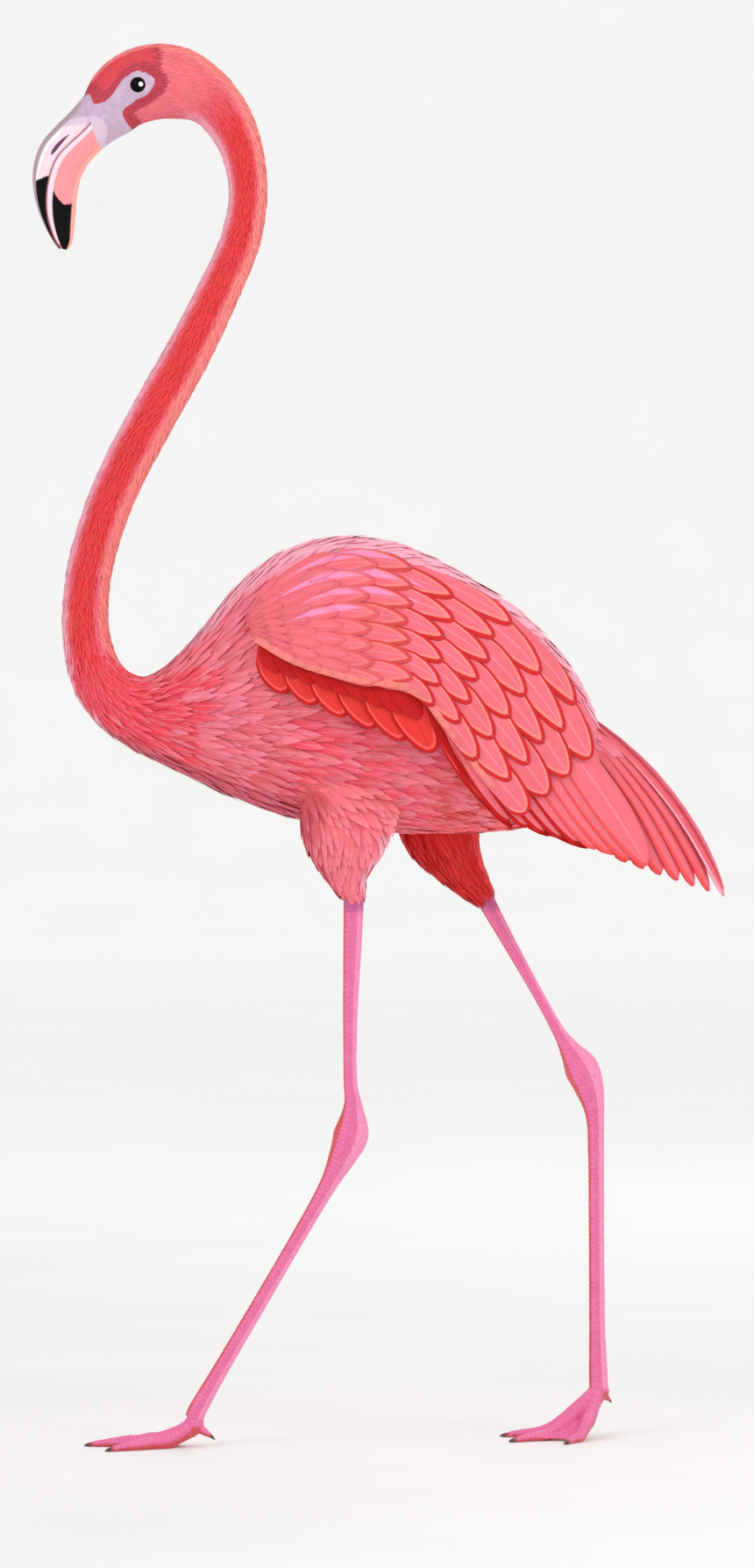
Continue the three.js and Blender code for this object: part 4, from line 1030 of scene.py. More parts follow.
def coat_tree():
    """Sets one feather on each point: its Y along "lie", its Z towards "out", its size from "size"."""
    tree = Tree("feather_coat", [
        ("Feather", "NodeSocketObject"), ("Material", "NodeSocketMaterial"), ("Turn", "NodeSocketFloat"),
        ("Ruffle", "NodeSocketFloat"), ("Patch", "NodeSocketFloat"), ("Seed", "NodeSocketInt"),
    ])
    given = tree.given
    feather = tree.put("GeometryNodeObjectInfo", {"Object": given["Feather"]})["Geometry"]
    axes = {"Primary Axis": tree.named("lie"), "Secondary Axis": tree.named("out")}
    lay = tree.put("FunctionNodeAxesToRotation", axes, primary_axis="Y", secondary_axis="Z")[0]
    ruffle = given["Ruffle"]
    most = tree.put("ShaderNodeCombineXYZ", {0: ruffle, 1: ruffle, 2: given["Turn"]})[0]
    limits = {0: tree.vector("SCALE", {0: most, 3: -1.0}), 1: most, "Seed": given["Seed"]}
    turn = tree.put("FunctionNodeRandomValue", limits, data_type="FLOAT_VECTOR")[0]
    turn = tree.put("FunctionNodeEulerToRotation", {0: turn})[0]
    turned = tree.put("FunctionNodeRotateRotation", {0: lay, 1: turn}, rotation_space="LOCAL")[0]
    on_points = tree.put("GeometryNodeInstanceOnPoints", {
        "Points": given["Geometry"], "Instance": feather, "Rotation": turned, "Scale": tree.named("size"),
    })[0]
    real = tree.put("GeometryNodeRealizeInstances", {0: on_points})[0]
    patch = tree.vector("SCALE", {0: tree.named("vane"), 3: given["Patch"]})
    place = tree.vector("ADD", {0: tree.named("root_place"), 1: patch})
    bake = {"Geometry": real, "Name": "OFBake", "Value": place}
    mapped = tree.put("GeometryNodeStoreNamedAttribute", bake, data_type="FLOAT2", domain="CORNER")[0]
    tree.end(mapped, given["Material"])
    return tree


def comb_tree():
    """Sets small plates at even steps along the edges of a mesh line."""
    tree = Tree("mouth_comb", [
        ("Count", "NodeSocketInt"), ("Plate", "NodeSocketVector"), ("Material", "NodeSocketMaterial"),
    ])
    given = tree.given
    line = tree.put("GeometryNodeMeshToCurve", {0: given["Geometry"]})[0]
    points = tree.put("GeometryNodeCurveToPoints", {"Curve": line, "Count": given["Count"]}, mode="COUNT")
    plate = tree.put("GeometryNodeMeshCube", {"Size": given["Plate"]})[0]
    plates = tree.put("GeometryNodeInstanceOnPoints", {
        "Points": points["Points"], "Instance": plate, "Rotation": points["Rotation"],
    })[0]
    tree.end(tree.put("GeometryNodeRealizeInstances", {0: plates})[0], given["Material"])
    return tree


def feather_shape(kind):
    """One feather of unit length and width, root at the origin, tip along +Y: a thin closed vane with a
    ridge, drawn out, arched and curled as its kind is."""
    rows, tip, point, curl = VANES[kind]
    sections = []
    for s in rows:
        half = 0.5 * float(vane_width(s, tip)) * (1 - point * s * s)
        rise = s - curl * s * s - VANE_SINK
        edge, thick = rise - VANE_ARCH, VANE_THICKNESS * (1 - 0.6 * s)
        sections.append([(-half, s, edge), (0, s, rise + thick), (half, s, edge), (0, s, rise - thick)])
    points = with_ends(np.array(sections))
    points[-1] = (0, 1.03, 1 - VANE_SINK - curl)
    made = outwards(new_object(f"{kind}_vane", points / MM, loft_faces(len(rows), 4)))
    mesh = made.data
    set_corners(mesh, "vane", np.stack([points[:, 0] + 0.5, np.clip(points[:, 1], 0, 1)], -1))
    ends = read(mesh.edges, "vertices", 2)
    rim = (ends % 2 == 0) | (ends >= len(points) - 2)
    sharp = mesh.attributes.new("sharp_edge", "BOOLEAN", "EDGE")
    sharp.data.foreach_set("value", rim.all(1))
    return made


# ---- where feathers stand and what colour they are ------------------------------------------------
def coat_size(s):
    """Row gap, gap across, feather length, width and lift at a station."""
    return np.stack([np.interp(s, COAT_SIZES[:, 0], COAT_SIZES[:, k]) for k in range(1, 6)], -1)


def lengths_along(path):
    """How far each place on a path is from its start."""
    return np.concatenate([[0], np.cumsum(np.linalg.norm(np.diff(path, axis=0), axis=1))])


def body_roots(first, last, random):
    """Staggered rows of feather roots on the long body, as stations and angles."""
    fine = np.linspace(first, last, 1200)
    middle = (body_at(fine, 0.0 * fine) + body_at(fine, np.pi + 0.0 * fine)) / 2
    steps = np.linalg.norm(np.diff(middle, axis=0), axis=1) / coat_size(fine[1:])[:, 0]
    rows = np.concatenate([[0], np.cumsum(steps)])
    stations, angles = [], []
    for k in range(int(rows[-1])):
        s = float(np.interp(k + 0.5, rows, fine))
        turn = np.linspace(0, 2 * np.pi, 97)
        around = lengths_along(body_at(np.full(97, s), turn))
        count = max(6, round(around[-1] / coat_size(s)[1]))
        place = staggered(count, k, 0.16, random)
        angles.append(np.interp(place % 1 * around[-1], around, turn))
        gap = (last - first) / rows[-1]
        stations.append(s + random.uniform(-0.2, 0.2, count) * gap)
    return np.clip(np.concatenate(stations), 0, VENT), np.concatenate(angles)


def paint(tone, share, name):
    """Takes the tones a share of the way to a named colour."""
    return tone + (colour4(name) - tone) * np.asarray(share)[:, None]


def plain(name, count):
    return np.tile(colour4(name), (count, 1))


def body_tone(s, a, at, chance, second):
    """The markings of the long body and the shading painted into them, for the skin and the coat alike.
    chance and second, from 0 to 1, pick the feathers that take the breast's and the belly's mixed tones."""
    q = np.cos(a)
    x, z = at[:, 0], at[:, 2]
    # The neck's red sides between a pale throat and a salmon nape, which runs on over the crown, are painted
    # shading of the round neck: red in the middle as seen from the side, lighter at the front and back edges.
    neck_red = band(s, 4.8, 7.2, 17, 18.6) * smooth(-0.9, -0.4, q) * (1 - smooth(0.3, 0.62, q))
    nape_edge = np.interp(s, [0, 3, 6, 8, 14, 17, 18.5], [0.84, 0.8, 0.66, 0.54, 0.58, 0.66, 0.7])
    nape = smooth(nape_edge - 0.04, nape_edge + 0.06, q) * band(s, 0, 0.5, 16.8, 18)
    throat = (1 - smooth(-0.9, -0.66, q)) * band(s, 4.5, 6.5, 17.6, 19)
    ragged = s + 1.3 * (second - 0.5)
    foot = ragged + 2.2 * smooth(0.2, 0.9, q)
    collar = smooth(16.4, 17.2, ragged) * (1 - smooth(20.3, 20.6, foot)) * (chance < 0.95)
    low = smooth(0.75, 0.6, q)
    belly = smooth(676, 662, z) * low
    marks = [
        (neck_red, "neck_red"), (nape, "salmon"), (throat, "pale"),
        (collar * smooth(-0.95, -0.85, q), "collar"),
        (band(ragged, 20.3, 20.6, 21.9, 22.5) * (chance < 0.75), "blush"),
        (band(ragged, 20.8, 21.4, 24.8, 25.6) * (chance < 0.52) * low, "lappet"),
        (belly * band(x, -118, -90, 30, 70) * (second < 0.5), "belly_rose"),
        # The brick red feathers low on the rear belly are painted shade.
        (belly * band(x, 18, 45, 120, 150) * (second > 0.45), "belly_brick"),
        (smooth(-0.78, -0.88, q) * band(s, 18.2, 18.8, 22.6, 24), "shade"),
        (smooth(-0.93, -0.97, q) * smooth(25.5, 26.5, s), "bright_red"),
        (smooth(0.8, 0.9, q) * smooth(19.2, 21, s), "pale"),
    ]
    head = s < NECK_TOP
    if head.any():
        brow, face = np.full(len(s), -99.0), np.full(len(s), -99.0)
        brow[head] = outline_depth(BROW_EDGE, x[head], z[head])
        face[head] = outline_depth(FACE_EDGE, x[head], z[head])
        patch = smooth(-0.8, 0.8, brow) * smooth(0.9, 0.85, q)
        marks += [(patch, "brow"), (patch * smooth(6, 4.5, brow) * smooth(-226, -218, x), "face_line"),
                  (smooth(-8, -6.5, face), "face_line")]
    tone = plain("coral", len(s))
    for share, name in marks:
        tone = paint(tone, share, name)
    return tone


def thigh_tone(side, a):
    """Coral on a thigh's outer side, red on its inner side as painted shade, a front darker in painted shade
    and a light rear edge.
    """
    front = np.cos(a)
    outer = paint(plain("coral", len(a)), 0.9 * smooth(0.64, 0.8, front), "shade")
    outer = paint(outer, smooth(-0.72, -0.85, front), "pale")
    # The inner side's red, darker still at the front, is painted shade.
    inner = paint(plain("rim_red", len(a)), smooth(0.1, 0.5, front), "deep_red")
    inner = paint(inner, smooth(-0.75, -0.9, front), "bright_red")
    return outer + (inner - outer) * smooth(-0.1, 0.25, -np.sin(a) * SIDES[side])[:, None]


def staggered(count, row, spread, random):
    """Uneven shares of a round row, set off by half a gap from the rows beside it."""
    return (np.arange(count) + 0.5 * (row % 2) + random.uniform(-spread, spread, count)) / count


def frame_on(surface, t, a, step, turn, last, centre):
    """Places on a round piece with its middle at centre, and the directions outwards and along it."""
    at = surface(t, a)
    along = unit(surface(np.minimum(t + step, last), a) - surface(np.maximum(t - step, 0), a))
    out = unit(np.cross(along, surface(t, a + turn) - surface(t, a - turn)))
    return at, out * np.sign(((at - centre) * out).sum(1))[:, None], along


def hug(at, ahead, out, along, far):
    """The lie of feathers that start at one place and end over another: raised in a hollow, bent over a
    swell. Where the other place isn't far enough on to tell, they lie along the piece."""
    way = unit(ahead - at)
    slope = (way * out).sum(1, keepdims=True) / np.maximum((way * along).sum(1, keepdims=True), 0.4)
    return np.where(far[:, None], unit(along + out * np.where(slope > 0, 1.1 * slope, 0.85 * slope)), along)


def bake_place(u, v):
    """Where a feather's root lies in its piece's OFBake map."""
    return np.column_stack([u, v]) * 0.99


def root_points(name, at, out, lie, size, tone, tip, place, random):
    """Points that carry one feather each."""
    made = new_object(name, at, [])
    carry = {
        "out": out, "lie": lie, "size": size * MM, "root_place": np.insert(place, 2, 0, 1), "tone": tone,
        "tip": tip, "chance": random.uniform(0, 1, len(at)),
    }
    for key, values in carry.items():
        set_points(made.data, key, values)
    return made


def cover(points, kind, look, turn, ruffle, seed):
    """Sets a feather on each point, turned and ruffled by chance within so many degrees."""
    feather = feather_shape(kind)
    coat_tree().run(points, {
        "Feather": feather, "Material": feather_look(look), "Turn": math.radians(turn),
        "Ruffle": math.radians(ruffle), "Patch": BAKE_PATCH, "Seed": seed,
    })
    drop(feather)
    return points


def wear(o, slot, *nodes, material=None):
    """Dresses a piece, rides it on the body and lets it stand for its nodes. Its slot is not used."""
    if material:
        o.data.materials.clear()
        o.data.materials.append(material)
    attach(o, "root")
    if nodes:
        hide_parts(*nodes)
    return o


# ---- pieces --------------------------------------------------------------------------------------
def thigh_at(side, t, a, sink=0.0):
    """Places on a thigh at station t and angle a, 0 in front."""
    stations = THIGHS[side]
    centre, front, across, _, sizes = leg_frame(stations, np.asarray(t) / (len(stations) - 1))
    return (centre + front * (np.cos(a) * (sizes[:, 0] - sink))[:, None]
            + across * (np.sin(a) * (sizes[:, 1] - sink))[:, None])


def thigh_sink(t):
    """How deep the skin of a thigh lies under its feathers' surface."""
    return np.interp(t, [0, 3.6, 5], [4, 3.4, 1.4])


def thigh_rings(side, count, angle, sink_of):
    """Rings round a thigh, and the angle of each of their places in one row."""
    t, turn = (part.ravel() for part in grid(np.linspace(0, 5, count), angle))
    return thigh_at(side, t, turn, sink_of(t)).reshape(count, -1, 3), turn


def tail_path(share, length, pitch):
    """The tail's middle line: places and up directions."""
    share = np.asarray(share, float)
    steps = 24
    part = (np.arange(steps) + 0.5) / steps
    angle = pitch + math.radians(TAIL_PITCH[1]) * share[..., None] * part
    step = (share * length / steps)[..., None]
    x = TAIL_ROOT[0] + (np.cos(angle) * step).sum(-1)
    z = TAIL_ROOT[1] - (np.sin(angle) * step).sum(-1)
    end = pitch + math.radians(TAIL_PITCH[1]) * share
    zero = np.zeros_like(x)
    return np.stack([x, zero, z], -1), np.stack([np.sin(end), zero, np.cos(end)], -1)


def tail_flesh_at(t, a, sink=0.0):
    """Places on the fleshy root of the tail at station t and angle a, 0 on top."""
    row = spline(TAIL_FLESH, t)
    at, up = tail_path(row[..., 0], TAIL_LENGTH, math.radians(TAIL_PITCH[0]))
    at = at + up * (np.cos(a) * (row[..., 1] - sink) - row[..., 3])[..., None]
    at[..., 1] += np.sin(a) * (row[..., 2] - sink)
    return at


def ball(name, centre, radius, columns=40, rows=24):
    """A round eye or cutter with its poles on the Y axis."""
    polar = np.pi * np.arange(1, rows) / rows
    turn = turns(columns)
    wide, high = np.sin(polar)[:, None], np.cos(polar)[:, None]
    ring = np.stack([wide * np.cos(turn), high + 0 * turn, wide * np.sin(turn)], -1)
    made = loft(name, ring * radius + np.array(centre, float))
    p = points_of(made.data)
    p[-2:] = np.array([[0, 1, 0], [0, -1, 0]]) * radius + np.array(centre, float)
    move_points(made.data, p)
    return made


def nearest(sources, p):
    """For each place, the number of the nearest source."""
    tree = KDTree(len(sources))
    for i, q in enumerate(sources):
        tree.insert(q, i)
    tree.balance()
    return np.array([tree.find(q)[1] for q in p])


def build_skin():
    """One skin from the bill base to the tail root, with both thighs and the eye sockets."""
    angle = turns(64)
    s = np.concatenate([np.linspace(0, NECK_TOP, 70)[:-1], np.linspace(NECK_TOP, THROAT, 130)[:-1],
                        np.linspace(THROAT, VENT, 96)])
    grid_s, grid_a = grid(s, angle)
    body = skin_at(grid_s, grid_a)
    centre = body[:8].mean(1)
    ahead = unit(centre[0] - centre[7])
    # The skin runs on into the bill, a little narrower with each ring.
    cuff = [centre[0] + ahead * reach + (body[0] - centre[0]) * share
            for reach, share in ((2.6, 0.9), (1.9, 0.955), (1, 0.99))]
    skin = loft("skin", np.concatenate([cuff, body]))
    flat_s, flat_a, at = grid_s.ravel(), grid_a.ravel(), body.reshape(-1, 3)
    level = np.full(len(flat_s), 0.6)
    sources, tones = [at], [body_tone(flat_s, flat_a, at, level, level - 0.1)]

    def grow(name, rings, tone):
        boolean(skin, loft(name, rings), "UNION")
        sources.append(rings.reshape(-1, 3))
        tones.append(tone)

    for side in SIDES:
        rings, turn = thigh_rings(side, 44, angle[::2], thigh_sink)
        grow("thigh", rings, thigh_tone(side, turn))
    grid_t, turn = grid(np.linspace(0, 4, 24), angle[::2])
    flesh = tail_flesh_at(grid_t, turn, np.interp(grid_t, [0, 3, 4], [5, 4, 1]))
    grow("tail_flesh", flesh, plain("coral", flesh.size // 3))
    for side in SIDES.values():
        seat = (EYE_SEAT["x"], side * EYE_SEAT["y"], EYE_SEAT["z"])
        boolean(skin, ball("socket", seat, EYE_SEAT["radius"] + 0.05), "DIFFERENCE")
    p = points_of(skin.data)
    thighs = band(p[:, 2], 530, 560, 590, 610) * band(p[:, 0], -100, -80, 120, 140)
    p = relax(skin, 0.5, 8, np.maximum(thighs, smooth(165, 185, p[:, 0])))
    head = p[:, 2] > 1180
    set_points(skin.data, "tone", np.concatenate(tones)[nearest(np.concatenate(sources), p)])
    for name, edge in (("face", FACE_EDGE), ("gape", GAPE_EDGE)):
        depth = np.full(len(p), -50.0)
        depth[head] = outline_depth(edge, p[head, 0], p[head, 2])
        set_points(skin.data, name, depth)
    wear(skin, "plumage", "head", "torso", "thigh_left", "thigh_right", *(f"neck_{i}" for i in range(1, 6)),
         material=shared("flamingo_skin", skin_material))


def inside_of(at, surface, margin=0.0):
    """Which places lie inside a closed surface, by its nearest face."""
    found = []
    for p in at:
        near, normal, _, _ = surface.find_nearest(Vector(p))
        found.append((Vector(p) - near).dot(normal) < margin)
    return np.array(found)


def surface_of(rings):
    """A closed skin over rings to measure against."""
    points, faces = closed_skin(rings)
    return BVHTree.FromPolygons([Vector(q) for q in points], faces)


def wing_outline():
    """The folded wing's outline, x z."""
    u = np.linspace(0, 1, 9)
    return np.concatenate([wing_place(u, np.zeros(9)), wing_place(u[::-1], np.ones(9))])


def clear_of_thighs(at):
    """Which places don't lie inside a thigh."""
    keep = np.ones(len(at), bool)
    for side in SIDES:
        rings, _ = thigh_rings(side, 16, turns(24), lambda t: 6)
        keep[keep] &= ~inside_of(at[keep], surface_of(rings), -2.5)
    return keep


def body_stretch(s, a):
    """How far apart two places on the body are that lie 0.1 of a station apart."""
    step = body_at(np.minimum(s + 0.05, VENT), a) - body_at(np.maximum(s - 0.05, 0), a)
    return np.linalg.norm(step, axis=1)


def build_body_coat(name, first, last, kind, slot, seed):
    """Feathers over a length of the long body."""
    sizes = bpy.context.scene.flamingo_sizes
    random = np.random.default_rng(seed)
    s, a = body_roots(first, last, random)
    at, out, lie = skin_frame(s, a)
    keep = outline_depth(wing_outline(), at[:, 0], at[:, 2]) < COAT_UNDER_WING
    keep |= (s < SHOULDER) | (np.abs(at[:, 1]) < BACK_STRIP)
    head = s < NECK_TOP
    for share in (0.3, 0.95):
        ahead = at[head] + lie[head] * (share * coat_size(s[head])[:, 2:3])
        keep[head] &= outline_depth(FACE_EDGE, ahead[:, 0], ahead[:, 2]) < -0.4
    if last > SHOULDER:
        keep[keep] &= clear_of_thighs(at[keep])
    s, a, at, out, lie = s[keep], a[keep], at[keep], out[keep], lie[keep]
    stretch = body_stretch(s, a)
    edge = smooth(0.55, 0.85, np.abs(np.cos(a))) * smooth(THROAT, 21, s)
    table = coat_size(s) * (1 - edge[:, None] * [0, 0, 0.28, 0.1, 0.35])
    length = table[:, 2] * np.clip(stretch / body_stretch(s, np.pi / 2), 0.7, 1.35)
    length = length * random.uniform(0.92, 1.1, len(s)) * sizes.feather_length
    lift = table[:, 4] * sizes.feather_lift * random.uniform(0.8, 1.1, len(s))
    ahead = np.minimum(s + length / np.maximum(stretch, 1e-3) * 0.1, VENT)
    lie = hug(at, skin_at(ahead, a), out, lie, ahead > s + 0.1)
    chance, second = random.uniform(0, 1, len(s)), random.uniform(0, 1, len(s))
    tone = body_tone(s, a, at, chance, second)
    tip = paint(tone, 0.05 + 0.13 * smooth(17, 20, s), "pale")
    points = root_points(name, at, out, lie, np.column_stack([table[:, 3], length, lift]), tone, tip,
                         bake_place(s / VENT, a / (2 * np.pi)), random)
    return wear(cover(points, kind, "body_feathers", 9, 3, seed), slot)


def build_thigh_coat(side, seed):
    """Short feathers down a thigh to the bare leg."""
    random = np.random.default_rng(seed)
    stations, angles = [], []
    t, k = 0.4, 0
    while t < 4.97:
        front, rear = (thigh_at(side, np.array([t]), np.array([turn])) for turn in (0.0, np.pi))
        count = max(12, round(float(np.linalg.norm(front - rear)) * 2.6 / THIGH_GAP))
        angles.append(staggered(count, k, 0.2, random) * 2 * np.pi)
        stations.append(t + random.uniform(-0.06, 0.06, count))
        t, k = t + (0.26 if t < 3 else 0.2), k + 1
    t, a = np.clip(np.concatenate(stations), 0, 4.98), np.concatenate(angles)
    sink = thigh_sink(t)
    at, out, along = frame_on(lambda t, a: thigh_at(side, t, a, sink), t, a, 0.05, 0.05, 5,
                              leg_frame(THIGHS[side], t / 5)[0])
    ring_s, ring_a = grid(np.linspace(THROAT, VENT, 60), turns(48))
    keep = ~inside_of(at, surface_of(body_at(ring_s, ring_a, 7)), -2.5)
    t, a, at, out, along = t[keep], a[keep], at[keep], out[keep], along[keep]
    width, length = np.interp(t, [0, 3, 5], [10.5, 9, 5.5]), np.interp(t, [0, 3, 5], [34, 26, 12])
    size = np.column_stack([width, length, np.interp(t, [0, 1.6, 3, 5], [1.6, 1.6, 1.9, 1.3])])
    size = size * random.uniform(0.9, 1.1, (len(t), 1))
    ahead = np.minimum(t + size[:, 1] / 27, 5)
    lie = hug(at, thigh_at(side, ahead, a, thigh_sink(ahead)), out, along, ahead > t + 0.1)
    flow = THIGH_FLOW - out * (out @ THIGH_FLOW)[:, None]
    level = (np.linalg.norm(flow, axis=1) ** 2 * 0.85 * (1 - smooth(0.5, 2.2, t)))[:, None]
    lie = unit(lie + (unit(flow) - lie) * level)
    tone = thigh_tone(side, a)
    tip = paint(tone, 0.2 * smooth(0.1, -0.2, -np.sin(a) * SIDES[side]), "pale")
    points = root_points(f"thigh_feathers_{side}", at, out, lie, size, tone, tip,
                         bake_place(t / 5, a / (2 * np.pi) % 1), random)
    return wear(cover(points, "thigh", "thigh_feathers", 8, 3, seed), "plumage")


def build_tail_coverts(seed):
    """Longer feathers over the fleshy root of the tail."""
    random = np.random.default_rng(seed)
    stations, angles = [], []
    for k, t in enumerate(np.arange(0.1, 2.9, 0.3)):
        count = max(6, round(float(spline(TAIL_FLESH, t)[1]) * 6 / TAIL_COVERT_GAP))
        stations.append(t + random.uniform(-0.08, 0.08, count))
        angles.append(staggered(count, k, 0.2, random) * 2 * np.pi)
    t, a = np.clip(np.concatenate(stations), 0, 3.95), np.concatenate(angles)
    count = len(t)
    at, out, along = frame_on(lambda t, a: tail_flesh_at(t, a, TAIL_COVERT_SINK), t, a, 0.05, 0.05, 4,
                              tail_flesh_at(t, a * 0 + np.pi / 2) * [1, 0, 1])
    length = np.interp(t, [0, 3], [42, 50]) * random.uniform(0.9, 1.1, count)
    size = np.column_stack([np.full(count, 14.0), length, np.full(count, 2.2)])
    ahead = np.minimum(t + 1.2, 3.95)
    lie = hug(at, tail_flesh_at(ahead, a, TAIL_COVERT_SINK), out, along, ahead > t + 0.5)
    tone = paint(plain("coral", count), smooth(0.7, 0.9, np.cos(a)), "pale")
    tone = paint(tone, (random.uniform(0, 1, count) < 0.3) * 1.0, "lappet")
    points = root_points("tail_coverts", at, out, lie, size, tone, paint(tone, np.full(count, 0.25), "pale"),
                         bake_place(t / 4, a / (2 * np.pi) % 1), random)
    return wear(cover(points, "tail_covert", "body_feathers", 6, 2, seed), "wing_plumage")


def vane_grid(rows, columns):
    """Places along a vane, 0 at its root, and across it, from -1 to 1."""
    return grid(np.array(rows), np.array(columns))


def build_vane(point, place, s, w, lift, half, length, tone, tip, atlas, chance, drawn=0.0, rim=0.0,
               one_edge=False):
    """A vane over the side of the bird: its outer face stands lift off the wing's form, which point reads.
    Its colours follow how far a place is from its edge, or from one edge alone."""
    x, z = place[..., 0], place[..., 1]
    thick = 0.28 + 0.52 * (1 - w * w)
    edge = (1 + w) * half if one_edge else np.minimum((1 - np.abs(w)) * half, (1 - s) * length)
    vane = np.stack([(w + 1) / 2, s], -1)
    corner, patch = atlas
    return {"outer": point(x, z, lift), "inner": point(x, z, lift - thick), "carry": {
        "vane": vane, "OFBake": np.array(corner) + vane * patch, "edge": edge[..., None],
        "tone": colour4(tone), "tip": colour4(tip), "chance": chance, "drawn": drawn, "rim": rim,
    }}


def wing_surface(side):
    """The reader of one wing's form that its vanes are laid on."""
    return lambda x, z, lift: wing_point(side, x, z, lift)


def build_wing(name, side, seed):
    """The folded wing: tiers of coverts, the marginal row and the flight feathers."""
    random = np.random.default_rng(seed)
    covert_width = bpy.context.scene.flamingo_sizes.covert_width
    point = wing_surface(side)
    s, w = vane_grid(COVERT_ROWS, [-1, -0.88, -0.6, 0, 0.6, 0.88, 1])
    full = vane_width(s, 0.52)
    vanes = []
    for k, (tip_u, count, span, lift, line) in enumerate(COVERT_TIERS):
        for j in range(count):
            v = (j + (0.28 if k % 2 else 0.72)) / count
            u = tip_u + random.uniform(-0.012, 0.012) - span * (1 - s) + 0 * w
            across = v + w * (0.62 / count * covert_width) * full
            place = wing_place(np.maximum(u, 0.0), np.clip(across, -0.03, 1.03))
            half = np.linalg.norm(place[:, -1] - place[:, 0], axis=-1)[:, None] / 2 + 0 * w
            length = float(np.linalg.norm(place[-1, 3] - place[0, 3]))
            rise = -1.6 + (lift + 1.6) * s + 1.1 * (1 - w * w) * full - 0.45 * w
            atlas = ((0.02 + 0.7 * k / len(COVERT_TIERS), 0.02 + 0.96 * j / count), (0.055, 0.085))
            vanes.append(build_vane(point, place, s, w, rise, half, length, "coral", "rim_red", atlas,
                                    random.uniform(), drawn=line, rim=line))
    return slabs_object(name, vanes + marginal_row(point, s, w, random) + flight_feathers(point, random))


def marginal_row(point, s, w, random):
    """Narrow feathers along the folded wing's lower edge."""
    vanes = []
    for i in range(MARGINAL_COUNT):
        along = (i + s * 2.6) / (MARGINAL_COUNT + 1.6) * (len(WING_BOTTOM) - 1)
        centre = spline(WING_BOTTOM, along)
        ahead = unit(spline(WING_BOTTOM, along + 0.02) - spline(WING_BOTTOM, along - 0.02))
        across = np.stack([-ahead[..., 1], ahead[..., 0]], -1)
        full = vane_width(s, 0.4)
        half = 3.4 * full
        rise = -0.8 + (3.4 - 1.4 * i / MARGINAL_COUNT) * s + 0.7 * (1 - w * w) * full
        atlas = ((0.74, 0.01 + 0.96 * i / MARGINAL_COUNT), (0.03, 0.03))
        vanes.append(build_vane(point, centre + across * (w * half + 1.2)[..., None], s, w, rise, half, 26,
                                "salmon", "salmon", atlas, random.uniform()))
    return vanes


def between(ends, share):
    return ends[0] + (ends[1] - ends[0]) * share


def straight_vane(root, tip, width, round_part, sag, s, w):
    """Places of a long straight vane on the side of the bird, its half width and its length."""
    axis = tip - root
    across = np.array([-axis[1], axis[0]]) / np.hypot(*axis)
    half = width / 2 * vane_width(s, round_part)
    place = root + axis * s[..., None] + across * (w * half + sag * 4 * s * (1 - s))[..., None]
    return place, half, float(np.hypot(*axis))


def flight_feathers(point, random):
    """Long vanes in a stack, each leaning so that its lower edge covers the next one down."""
    s, w = vane_grid([0, 0.12, 0.24, 0.36, 0.48, 0.58, 0.67, 0.75, 0.82, 0.88, 0.93, 0.97, 1],
                     [-1, -0.86, -0.7, -0.35, 0, 0.35, 0.7, 1])
    vanes = []
    for i in range(FLIGHT_COUNT):
        share = i / (FLIGHT_COUNT - 1)
        root, tip = between(FLIGHT_ROOTS, share) + FLIGHT_RISE * (1 - share), between(FLIGHT_TIPS, share)
        place, half, length = straight_vane(root, tip, 30 + 4 * share, 0.46, 3, s, w)
        rise = -3.2 + 1.0 * share - 1.7 * w + 0.7 * (1 - w * w)
        atlas = ((0.8, 0.01 + 0.98 * i / FLIGHT_COUNT), (0.16, 0.09))
        # The first five flight feathers' deep red edge is painted shade in the gaps between them; the rest
        # take a bright red edge.
        line = "deep_red" if i < 5 else "bright_red"
        vanes.append(build_vane(point, place, s, w, rise, half, length, "coral", line, atlas,
                                random.uniform(), rim=1.0, one_edge=True))
    return vanes


def build_under_coverts(name, side, seed):
    """Two layers of red coverts under the wing's front edge, and behind them slivers of dark red that are
    painted shade under the wing's lower edge.
    """
    random = np.random.default_rng(seed)
    s, w = vane_grid(COVERT_ROWS, [-1, -0.86, -0.62, -0.3, 0, 0.3, 0.62, 0.86, 1])
    rows = []
    for layer, count in ((0, 6), (1, 9)):
        for share in np.arange(count) / (count - 1):
            root, tip = between(UNDER_ROOTS, share), between(UNDER_TIPS, share)
            tip = tip + (root - tip) * 0.36 * layer
            rise = -7.2 + 1.2 * share + 1.4 * layer - 1.2 * w + 1.2 * s + 0.6 * (1 - w * w)
            rows.append((root, tip, (30 + 8 * share) * (1 - 0.35 * layer), 0.5, rise, layer, 1 - layer))
    rows += [(sliver[:2], sliver[2:], 15, 0.75, -6.0 - 1.2 * w, 1, 1) for sliver in SLIVERS]
    vanes = []
    for i, (root, tip, width, round_part, rise, deep, drawn) in enumerate(rows):
        place, half, length = straight_vane(root, tip, width, round_part, -4, s, w)
        atlas = ((0.02 + 0.5 * (i % 2), 0.01 + 0.98 * (i // 2) / 11), (0.4, 0.075))
        # The slivers' dark red is painted shade; the second layer of coverts takes the same dark red.
        tone = "deep_red" if deep else "under_red"
        vanes.append(build_vane(wing_surface(side), place, s, w, rise, half, length, tone, "deep_red", atlas,
                                random.uniform(), drawn=drawn, rim=1.0))
    return slabs_object(name, vanes)


def bed_thickness(u):
    return WING_BED["root"] + (WING_BED["tip"] - WING_BED["root"]) * u**1.5


